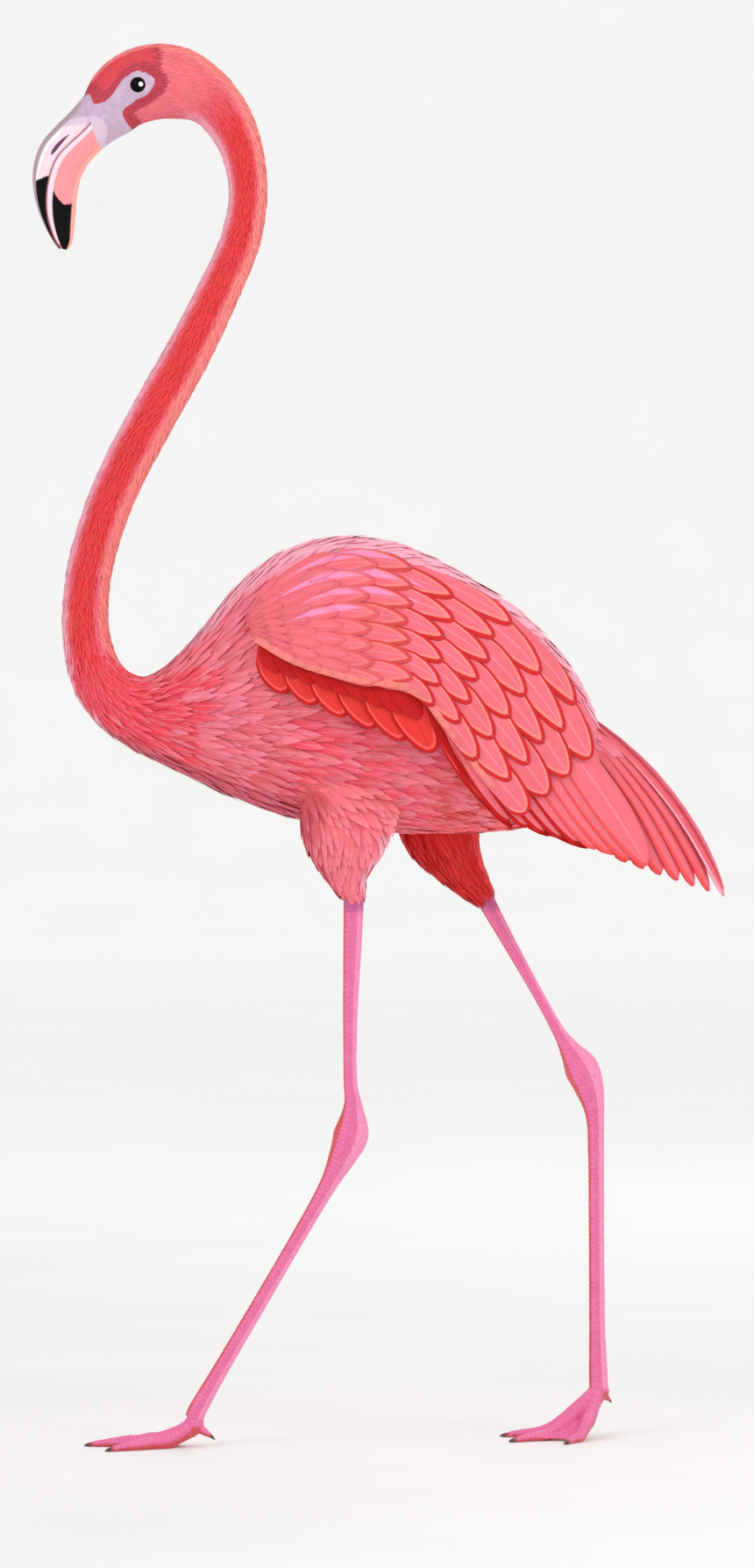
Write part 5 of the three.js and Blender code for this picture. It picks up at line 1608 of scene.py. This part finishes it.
def bed_at(side, u, v, share):
    """Places in the wing's bed, at a share of its thickness from its outer to its inner face."""
    place = wing_place(u, v)
    rim = np.minimum.reduce([v, 1 - v, u * 1.4, (1 - u) * 1.5 + 0.06]) / 0.16
    drop = -1.8 - 4.2 * (1 - np.sqrt(np.clip(rim, 0, 1)))
    return wing_point(side, place[..., 0], place[..., 1], drop - bed_thickness(u) * share)


def build_wing_bed(name, side):
    """The arm and its skin under the coverts."""
    u, v = grid(np.linspace(0, 1, 40), np.linspace(0, 1, 22))
    faces = {"outer": bed_at(side, u, v, 0), "inner": bed_at(side, u, v, 1)}
    return slabs_object(name, [{**faces, "carry": {"tone": colour4("coral"), "face": -50.0}}])


def build_wing_lining(name, side, seed):
    """Small feathers over the bed's upper and lower rims, at q up to 1, and on over its inner face."""
    random = np.random.default_rng(seed)
    stations, places, edges = [], [], []
    for k, u in enumerate(np.arange(0.02, 0.96, 0.021)):
        rim = max(1, round(bed_thickness(u) / LINING_GAP))
        for edge, rows in ((0, 9), (1, 4)):
            q = np.concatenate([(np.arange(rim) + 0.5) / rim, 1 + (np.arange(rows) + 0.5) / 9])
            shift = 0.5 * (k % 2) + random.uniform(-0.2, 0.2, len(q))
            places.append(q + shift / np.where(q < 1, rim, 9) - 0.05)
            stations.append(u + random.uniform(-0.004, 0.004, len(q)))
            edges.append(np.full(len(q), edge))
    u, q, edge = np.concatenate(stations), np.clip(np.concatenate(places), 0.02, 2), np.concatenate(edges)
    inward = 0.5 - edge

    def lining(u, q):
        return bed_at(side, u, edge + inward * np.clip(q - 1, 0, 1), np.clip(q, 0, 1))

    at, out, along = frame_on(lining, u, q, 0.01, 0.03, 1, bed_at(side, u, edge + 0.5 * inward, 0.5))
    size = np.array([10.5, 29, 2.6]) * random.uniform(0.9, 1.1, (len(u), 1))
    size = size * (1 - np.array([0.25, 0.45, 0.4]) * edge[:, None])
    tone = paint(plain("pale", len(u)), np.maximum(smooth(0.7, 1.3, q), edge), "coral")
    tip = paint(tone, np.full(len(u), 0.18), "pale")
    # The upper rim's feathers lie in the map's low rows, the lower rim's ones in its top rows.
    place = np.column_stack([u, np.where(edge > 0, 0.99 - 0.2 * q, 0.35 * q)])
    points = root_points(name, at, out, along, size, tone, tip, place, random)
    return wear(cover(points, "lining", "body_feathers", 7, 3, seed), "wing_plumage")


def build_tail(seed):
    """Tail feathers in pairs like a steep roof, the middle pair on top."""
    random = np.random.default_rng(seed)
    s, w = vane_grid([0, 0.1, 0.2, 0.3, 0.4, 0.5, 0.6, 0.7, 0.78, 0.86, 0.92, 0.965, 1],
                     [-1, -0.86, -0.7, -0.3, 0, 0.4, 0.8, 1])
    vanes = []
    for side in SIDES.values():
        sideways = np.array([0.0, side, 0])
        for pair in range(TAIL_PAIRS):
            share = pair / (TAIL_PAIRS - 1)
            out, down = (np.interp(share * 4, range(5), reach) for reach in (TAIL_OUT, TAIL_DOWN))
            roll = math.radians(TAIL_ROLL[0] + TAIL_ROLL[1] * share)
            pitch = math.radians(TAIL_PITCH[0] + 6 * share)
            middle, up = tail_path(s, TAIL_LENGTH * (1 - 0.3 * share), pitch)
            across = sideways * math.cos(roll) - up * math.sin(roll)
            normal = sideways * math.sin(roll) + up * math.cos(roll)
            opening = (0.72 + 0.28 * s)[..., None]
            half = TAIL_VANE_WIDTH / 2 * vane_width(s, 0.34)
            at = middle + sideways * out * opening - up * down * opening + across * (w * half)[..., None]
            lift = 0.7 * (1 - w * w) - 0.8 * w + 0.35 * (1 - share) * (side > 0)
            thin = 0.16 + 0.3 * (1 - w * w)
            outer, inner = (at + normal * level[..., None] for level in (lift + thin, lift - thin))
            tone = np.broadcast_to(colour4("coral"), (*s.shape, 4))
            if pair == 0:
                tone = tone + (colour4("pale") - tone) * smooth(-0.2, -0.7, w)[..., None]
            vane = np.stack([(w + 1) / 2, s], -1)
            corner = np.array([0.02 + 0.5 * (side > 0), 0.01 + 0.98 * pair / TAIL_PAIRS])
            vanes.append({"outer": outer, "inner": inner, "carry": {
                "vane": vane, "OFBake": corner + vane * (0.45, 0.12), "edge": ((1 - w) * half)[..., None],
                "tone": tone, "tip": colour4("bright_red" if pair else "pale"), "chance": random.uniform(),
                "drawn": 0.0, "rim": 1.0,
            }})
    return slabs_object("tail_feathers", vanes)


def tubes_object(name, tubes):
    """Closed tubes as one mesh, with the share of each one's length as "reach"."""
    points, faces, reach, offset = [], [], [], 0
    for rings in tubes:
        count, sides, _ = rings.shape
        found, sheet = closed_skin(rings)
        points.append(found)
        faces += [tuple(i + offset for i in f) for f in sheet]
        reach += [np.repeat(np.linspace(0, 1, count), sides), [0, 1]]
        offset += len(found)
    made = new_object(name, np.concatenate(points), faces)
    set_points(made.data, "reach", np.concatenate(reach))
    return made


def join(name, objects):
    """Several meshes as one object."""
    whole = bmesh.new()
    for o in objects:
        whole.from_mesh(o.data)
    mesh = bpy.data.meshes.new(name)
    whole.to_mesh(mesh)
    whole.free()
    drop(*objects)
    return add_object(name, mesh)


def web_slab(foot, first, second):
    """The web between two toes, hollow at its free edge."""
    u, t = grid(np.linspace(0, 1, 26), np.linspace(0, 1, 15))
    share = 0.08 + u * (0.86 - WEB_SCALLOP * np.sin(np.pi * t))
    place = toe_path(foot, first, share) * (1 - t)[..., None] + toe_path(foot, second, share) * t[..., None]
    place[..., 2] -= 1.2 * np.sin(np.pi * t) - 0.25 * np.sin(6 * np.pi * t) * u
    half = np.array([0, 0, WEB_HALF_THICKNESS])
    return {"outer": place + half, "inner": place - half, "carry": {}}


def hind_toe(foot, reaches, sizes, shift=0.0):
    """Rings of the small hind toe."""
    heading = math.radians(foot["heading"] - 24 * foot["mirror"])
    back = unit(np.array([math.cos(heading), math.sin(heading), -0.55]))
    across = unit(np.cross(back, [0.0, 0, 1]))
    up = np.cross(across, back)
    count = len(reaches)
    centre = np.array(foot["knuckle"], float) + back * (4 + reaches)[:, None]
    centre[:, 2] -= shift * np.linspace(0, 1, count) ** 2
    up, across = (np.tile(way, (count, 1)) for way in (up, across))
    return tube_rings(centre, up, across, np.stack([sizes, sizes], -1), 16)


def build_leg(side):
    """One bare leg with its toes and webs as one skin, scaled in front."""
    foot, stations = FEET[side], LEGS[side]
    centre, front, across, _, sizes = leg_frame(stations, np.linspace(0, 1, 90))
    parts = [loft("leg", tube_rings(centre, front, across, sizes, 28)), ball("knuckle", foot["knuckle"], 9.4)]
    parts += [loft("toe", toe_rings(foot, toe, np.linspace(0, 1, 40), 20)) for toe in TOES]
    parts += [slabs_object("web", [web_slab(foot, "outer", "middle"), web_slab(foot, "middle", "inner")])]
    reach = np.linspace(0, 1, 12)
    radii = HALLUX["radius"] * np.interp(reach, [0, 0.6, 1], [1.25, 1, 0.62])
    parts += [loft("hind_toe", hind_toe(foot, reach * HALLUX["length"], radii))]
    leg = join(f"leg_skin_{side}", parts)
    remesh = leg.modifiers.new("remesh", "REMESH")
    remesh.mode, remesh.voxel_size = "VOXEL", LEG_VOXEL * MM
    settle(leg)
    p = relax(leg, 0.5, 4)
    normal = read(leg.data.vertices, "normal", 3, float)
    top = normal[:, 2]
    # Where a place is: along the leg or out on the foot, and in front or behind. The third value places
    # painted shade under the foot and at the leg's top, above 0, and a painted highlight over the foot, below
    # 0.
    centre, front, *_ = leg_frame(stations, np.linspace(0, 1, 400))
    near = nearest(centre, p)
    down_leg = lengths_along(centre)[near]
    facing = (unit(p - centre[near]) * front[near]).sum(1)
    knuckle = np.array(foot["knuckle"], float)
    out = np.linalg.norm((p - knuckle)[:, :2], axis=1)
    on_foot = smooth(centre[-1][2] + 4, centre[-1][2] - 6, p[:, 2])
    on_foot = np.maximum(on_foot, smooth(12, 18, out) * (p[:, 2] < knuckle[2] + 6))
    along = np.where(on_foot > 0.5, out, down_leg)
    front_share = np.where(on_foot > 0.5, np.clip(top, -0.4, 0.6), facing)
    shade_mark = on_foot * np.where(top > 0, -0.75 * smooth(0.55, 0.95, top), smooth(0.2, -0.3, top))
    shade_mark = np.maximum(shade_mark, 0.8 * smooth(8, 3, down_leg) * (on_foot < 0.5))
    scute = np.abs(np.sin(along * np.pi / SCUTE_LENGTH)) * smooth(0.2, 0.5, front_share)
    scute = scute * smooth(-0.2, 0.4, top + (on_foot < 0.5))
    p = p + normal * (0.28 * (scute - 0.5) * (scute > 0))[:, None]
    p[:, 2] = np.maximum(p[:, 2], 0)
    move_points(leg.data, p)
    set_points(leg.data, "lay", np.stack([along, front_share, shade_mark], -1))
    return wear(leg, "leg_skin", *(f"{part}_{side}" for part in ("shank", "tarsus", "foot")),
                material=shared("leg_scales", leg_material))


def build_claws(side):
    """The four blunt claws of one foot."""
    foot = FEET[side]
    tubes = []
    reach = np.linspace(0, 1, 12)
    for toe in TOES:
        scale = np.interp(reach, [0, 0.5, 0.82, 1], [0.8, 0.66, 0.38, 0.1])
        rings = toe_rings(foot, toe, np.ones(12), 16, scale, -1 + (CLAW_LENGTH + 1) * reach)
        rings[..., 2] -= (0.9 * reach**2)[:, None]
        tubes.append(rings)
    radii = HALLUX["radius"] * np.interp(reach, [0, 0.6, 1], [0.56, 0.36, 0.08])
    tubes.append(hind_toe(foot, HALLUX["length"] - 1 + 6.5 * reach, radii, 1.0))
    for rings in tubes:
        rings[..., 2] = np.maximum(rings[..., 2], 0.02)
    nodes = (f"claw_{side}_{toe}" for toe in (*TOES, "hind"))
    claws = tubes_object(f"claws_{side}", tubes)
    return wear(claws, "claw", *nodes, material=shared("claw_horn", claw_material))


def bill_rings(upper, rows, columns):
    """Rings of one half of the bill: an arch over the flat of the mouth."""
    t = np.linspace(0, len(BILL) - 1, rows)
    row = spline(BILL, t)
    mouth = row[:, 2:4]
    edge = row[:, 0:2] if upper else row[:, 4:6]
    half = row[:, 6] if upper else row[:, 7]
    depth = np.linalg.norm(edge - mouth, axis=1)
    rise = unit(edge - mouth)
    edge_on = np.array([0, 0.015, 0.05])
    angle = np.concatenate([edge_on, np.linspace(0.11, np.pi - 0.11, columns), np.pi - edge_on[::-1]])
    up = 0.2 + (depth - 0.2)[:, None] * np.sin(angle) ** 0.85
    across = np.sign(np.cos(angle)) * np.abs(np.cos(angle)) ** 0.9 * half[:, None]
    inner = np.array([-0.985, -0.9, 0, 0.9, 0.985])
    across = np.concatenate([across, inner * half[:, None]], 1)
    up = np.concatenate([up, np.full((rows, 5), 0.15)], 1)
    level = np.concatenate([np.sin(angle), np.zeros(5)])
    x = mouth[:, :1] + rise[:, :1] * up
    z = mouth[:, 1:] + rise[:, 1:] * up
    length = lengths_along(mouth)
    return np.stack([x, across, z], -1), length / length[-1], level


def nostril_share(p):
    """1 in the middle of a nostril's slit, 0 from its rim outwards. The slit narrows towards the face."""
    lean = math.radians(NOSTRIL["lean"])
    x, z = p[..., 0] - NOSTRIL["x"], p[..., 2] - NOSTRIL["z"]
    along = (x * math.cos(lean) + z * math.sin(lean)) / NOSTRIL["length"] * 2
    across = (x * math.sin(lean) - z * math.cos(lean)) / NOSTRIL["width"] * 2 - 0.9 * (along**2 - 0.4)
    width = 1.15 - 0.5 * np.clip(along, -1, 1)
    return 1 - np.clip(np.hypot(along, across / width), 0, 1)


def build_bill():
    """Both halves of the bent bill, with the nostrils pressed in and the comb between them."""
    for upper in (True, False):
        name = "bill_upper" if upper else "bill_lower"
        rings, reach, level = bill_rings(upper, 300 if upper else 120, 76 if upper else 32)
        slit = nostril_share(rings) * (np.abs(rings[..., 1]) > 3) * upper
        rings[..., 1] -= np.sign(rings[..., 1]) * NOSTRIL["depth"] * smooth(0, 0.45, slit)
        half = loft(f"{name}_horn", rings)
        for key, values in zip(("reach", "rise"), grid(reach, level)):
            set_points(half.data, key, with_ends(values[..., None]))
        slot = "bill_pale" if upper else "bill_rose"
        wear(half, slot, name, material=shared(f"{name}_horn", bill_material, upper))
    build_comb()


def build_comb():
    """The pale edges of the mouth and the fine plates of the comb along both sides."""
    plates = bpy.context.scene.flamingo_sizes.comb_plates
    count = 60
    t = np.linspace(0.1, len(BILL) - 1.15, count)
    row = spline(BILL, t)
    lines, edges = [], []
    for side in SIDES.values():
        line = np.stack([row[:, 2], side * (np.minimum(row[:, 6], row[:, 7]) * 0.97), row[:, 3]], -1)
        lines.append(line)
        along = unit(np.gradient(line, axis=0))
        across = unit(np.cross(along, [0.0, 1, 0]))
        radius = np.interp(t, [0, 1, 6, 8], [1.1, 1.3, 1.2, 0.7])
        sizes = np.stack([radius, radius * 0.9], -1)
        edges.append(tube_rings(line, across, np.cross(across, along), sizes, 10))
    wear(tubes_object("mouth_edges", edges), "bill_rose", material=shared("mouth_edge", mouth_edge_material))
    links = [(i, i + 1) for i in range(2 * count - 1) if i != count - 1]
    made = new_object("mouth_comb", np.concatenate(lines), [], links)
    comb_tree().run(made, {"Count": plates, "Plate": Vector(COMB_PLATE) * MM,
                           "Material": shared("mouth_comb", comb_material)})
    return wear(made, "bill_rose")


def build_eyes():
    """Both eyes, and the lids that rise to them from the skin."""
    head = surface_of(skin_at(*grid(np.linspace(0, NECK_TOP, 60), turns(64))))
    section = closed_curve(LID_SECTION, 3)
    for name, side in SIDES.items():
        centre = np.array([EYE_SEAT["x"], side * EYE_SEAT["y"], EYE_SEAT["z"]], float)
        eye = ball(f"eyeball_{name}", centre, EYE_SEAT["radius"], 48, 28)
        front = (points_of(eye.data)[:, 1] - centre[1]) * side
        set_points(eye.data, "gaze", front / EYE_SEAT["radius"])
        wear(eye, "eye", f"eye_{name}", material=shared("wet_eye", eye_material))
        turn, reach = grid(turns(96), section[:, 0])
        outer = smooth(7.4, 12, reach)
        reach = reach * (1 + outer * (0.1 * np.abs(np.cos(turn)) + 0.03 * np.sin(3 * turn + 1)))
        at = np.stack([np.cos(turn) * reach, 0 * reach, np.sin(turn) * reach], -1) + centre
        inwards = Vector((0, -side, 0))
        skin = [head.ray_cast(Vector((x, side * 60, z)), inwards)[0].y for x, _, z in at.reshape(-1, 3)]
        skin = np.reshape(skin, turn.shape) * side - EYE_SEAT["y"]
        fold = section[:, 2] * (1 + 0.25 * outer * np.sin(2 * turn + 0.6))
        at[..., 1] = centre[1] + side * (skin + (EYE_SEAT["rim"] - skin) * section[:, 1] + fold)
        index = np.arange(turn.size).reshape(turn.shape)
        after, beside = np.roll(index, -1, 0), np.roll(index, -1, 1)
        faces = np.stack([index, beside, np.roll(after, -1, 1), after], -1).reshape(-1, 4)
        lids = outwards(new_object(f"eyelids_{name}", at.reshape(-1, 3), faces))
        set_points(lids.data, "rim", smooth(7.5, 6.9, reach))
        wear(lids, "plumage", material=shared("lid_skin", lid_material))


# ---- stage ---------------------------------------------------------------------------------------
def floor_material(name):
    """A pale matt floor that glows a little more the further away it is."""
    m = Nodes(name)
    x, y, height = m.split(m.place())
    away = m.math("SQRT", m.plus(m.times(x, x), m.times(y, y)))
    glow = m.plus(m.ramp(away, 1.0, 6.5, 0.05, 0.25), m.ramp(height, 0.0, 4.0, 0.0, -0.05))
    m.set(Base_Color=m.mix(m.ramp(m.noise(3.0, 3), 0.3, 0.7), "floor_dark", "floor_light"),
          Roughness=0.9, Emission_Color=(1, 1, 1, 1), Emission_Strength=glow)
    return m.material


def add_lamp(name, place, size, power, aim):
    """A round soft lamp that looks at its aim."""
    light = bpy.data.lights.new(name, "AREA")
    light.shape, light.size, light.energy = "DISK", size, power
    lamp = add_object(name, light)
    lamp.location = place
    lamp.rotation_euler = (Vector(aim) - Vector(place)).to_track_quat("-Z", "Y").to_euler()
    lamp.visible_camera = False
    return lamp


def build_floor():
    """A round floor that turns up far away into a wall."""
    flat, turn, sides = STAGE["flat"], STAGE["turn"], 72
    bend = np.linspace(0, np.pi / 2, 13)
    radius = np.concatenate([[0.4, 1, 2, 4, 8, 13], flat + turn * np.sin(bend), [flat + turn]])
    height = np.concatenate([np.zeros(6), turn * (1 - np.cos(bend)), [STAGE["wall"]]])
    angle = turns(sides)
    high = np.tile(height[:, None], (1, sides))
    points = np.stack([radius[:, None] * np.cos(angle), radius[:, None] * np.sin(angle), high], -1)
    faces = [f[::-1] for f in loft_faces(len(radius), sides)[:(len(radius) - 1) * sides]]
    floor = new_object("floor", points.reshape(-1, 3) / MM, [*faces, tuple(range(sides))])
    floor.data.materials.append(shared("studio_floor", floor_material))


def build_stage():
    """The floor, soft lamps, a glint that only the eyes reflect, and the camera."""
    build_floor()
    scene = bpy.context.scene
    world = bpy.data.worlds.new("studio_air")
    world.use_nodes = True
    background = world.node_tree.nodes["Background"].inputs
    background[0].default_value, background[1].default_value = (1, 1, 1, 1), AIR_STRENGTH
    scene.world = world
    for lamp in LAMPS:
        add_lamp(*lamp, LAMPS_AIM)
    glint = add_lamp(*GLINT, GLINT_AIM)
    glint.visible_diffuse = False
    lit = bpy.data.collections.new("lit_by_the_glint")
    for side in SIDES:
        eye = bpy.data.objects.get(f"eyeball_{side}")
        if eye:
            lit.objects.link(eye)
    glint.light_linking.receiver_collection = lit
    lens = bpy.data.cameras.new("camera")
    lens.lens, lens.sensor_width, lens.clip_end = CAMERA["lens"], CAMERA["sensor"], CAMERA["reach"]
    scene.camera = add_object("camera", lens)
    scene.camera.location, scene.camera.rotation_euler = CAMERA["place"], (math.pi / 2, 0, 0)
    scene.view_settings.view_transform = "Standard"


# ---- the add-on ----------------------------------------------------------------------------------
class FlamingoColours(bpy.types.PropertyGroup):
    """Colours of the bird's parts"""


FlamingoColours.__annotations__ = {
    key: FloatVectorProperty(name=key.replace("_", " ").capitalize(), description=words, subtype="COLOR",
                             size=3, min=0.0, max=1.0, default=rgb(code))
    for key, (code, words) in COLOURS.items()
}


class FlamingoSizes(bpy.types.PropertyGroup):
    """Sizes of the bird's feathers and comb"""

    feather_length: FloatProperty(
        name="Feather length", description="Length of the body feathers against their usual one",
        default=1.0, min=0.6, max=1.4, subtype="FACTOR")
    feather_lift: FloatProperty(
        name="Feather lift", description="How far body feathers stand off the skin against their usual lift",
        default=1.0, min=0.4, max=1.4, subtype="FACTOR")
    covert_width: FloatProperty(
        name="Covert width", description="Width of the wing's coverts against their usual one",
        default=1.0, min=0.7, max=1.3, subtype="FACTOR")
    comb_plates: IntProperty(
        name="Comb plates", description="Plates along each side of the mouth", default=76, min=20, max=140)
    coat_seed: IntProperty(
        name="Coat seed", description="Starts the small differences between feathers", default=3, min=0)


class OBJECT_OT_flamingo_skin(bpy.types.Operator):
    """Builds the continuous skin under the feathers, with the bare face"""

    bl_idname = "object.flamingo_skin"
    bl_label = "Skin"

    def execute(self, context):
        build_skin()
        return {"FINISHED"}


class OBJECT_OT_flamingo_head(bpy.types.Operator):
    """Builds the eyes, the lids, the bill and its comb"""

    bl_idname = "object.flamingo_head"
    bl_label = "Eyes and bill"

    def execute(self, context):
        build_eyes()
        build_bill()
        return {"FINISHED"}


class OBJECT_OT_flamingo_legs(bpy.types.Operator):
    """Builds both bare legs with their webbed feet and claws"""

    bl_idname = "object.flamingo_legs"
    bl_label = "Legs and claws"

    def execute(self, context):
        for side in SIDES:
            build_leg(side)
            build_claws(side)
        return {"FINISHED"}


class OBJECT_OT_flamingo_wings(bpy.types.Operator):
    """Builds both folded wings, feather by feather"""

    bl_idname = "object.flamingo_wings"
    bl_label = "Wings"

    def execute(self, context):
        seed = context.scene.flamingo_sizes.coat_seed
        for name, side in SIDES.items():
            wing = build_wing(f"wing_feathers_{name}", side, seed + side)
            wear(wing, "wing_plumage", f"wing_{name}", material=feather_look("wing_feathers"))
            bed = build_wing_bed(f"wing_bed_{name}", side)
            wear(bed, "wing_plumage", material=shared("flamingo_skin", skin_material))
            build_wing_lining(f"wing_lining_{name}", side, seed)
            under = build_under_coverts(f"under_coverts_{name}", side, seed + side)
            wear(under, "wing_plumage", material=feather_look("under_covert_feathers"))
        return {"FINISHED"}


class OBJECT_OT_flamingo_tail(bpy.types.Operator):
    """Builds the tail feathers and the coverts at their root"""

    bl_idname = "object.flamingo_tail"
    bl_label = "Tail"

    def execute(self, context):
        seed = context.scene.flamingo_sizes.coat_seed
        wear(build_tail(seed), "wing_plumage", "tail", material=feather_look("tail_feathers"))
        build_tail_coverts(seed)
        return {"FINISHED"}


class OBJECT_OT_flamingo_coat(bpy.types.Operator):
    """Covers the skin with body feathers, smallest at the face"""

    bl_idname = "object.flamingo_coat"
    bl_label = "Body feathers"

    def execute(self, context):
        seed = context.scene.flamingo_sizes.coat_seed
        for k, coat in enumerate(COATS):
            build_body_coat(*coat, seed + k)
        for side in SIDES:
            build_thigh_coat(side, seed + len(COATS))
        return {"FINISHED"}


class OBJECT_OT_flamingo_stage(bpy.types.Operator):
    """Sets the floor, the lights and the camera"""

    bl_idname = "object.flamingo_stage"
    bl_label = "Stage"

    def execute(self, context):
        build_stage()
        return {"FINISHED"}


PIECES = (
    OBJECT_OT_flamingo_skin, OBJECT_OT_flamingo_head, OBJECT_OT_flamingo_legs, OBJECT_OT_flamingo_wings,
    OBJECT_OT_flamingo_tail, OBJECT_OT_flamingo_coat, OBJECT_OT_flamingo_stage,
)


class VIEW3D_PT_flamingo(bpy.types.Panel):
    """Sizes, colours and pieces of the flamingo"""

    bl_label = "Flamingo"
    bl_idname = "VIEW3D_PT_flamingo"
    bl_space_type = "VIEW_3D"
    bl_region_type = "UI"
    bl_category = "Flamingo"

    def draw(self, context):
        layout = self.layout
        sizes = context.scene.flamingo_sizes
        for key in FlamingoSizes.__annotations__:
            layout.prop(sizes, key)
        for piece in PIECES:
            layout.operator(piece.bl_idname, text=piece.bl_label)
        colours = context.scene.flamingo_colours
        box = layout.box()
        for key in COLOURS:
            box.prop(colours, key)


CLASSES = (FlamingoColours, FlamingoSizes, *PIECES, VIEW3D_PT_flamingo)


def register():
    for kind in CLASSES:
        bpy.utils.register_class(kind)
    bpy.types.Scene.flamingo_colours = PointerProperty(type=FlamingoColours)
    bpy.types.Scene.flamingo_sizes = PointerProperty(type=FlamingoSizes)


def unregister():
    del bpy.types.Scene.flamingo_sizes
    del bpy.types.Scene.flamingo_colours
    for kind in reversed(CLASSES):
        bpy.utils.unregister_class(kind)


def main():
    register()
    bpy.ops.object.flamingo_skin()
    bpy.ops.object.flamingo_head()
    bpy.ops.object.flamingo_legs()
    bpy.ops.object.flamingo_wings()
    bpy.ops.object.flamingo_tail()
    bpy.ops.object.flamingo_coat()
    bpy.ops.object.flamingo_stage()


if __name__ == "__main__":
    main()
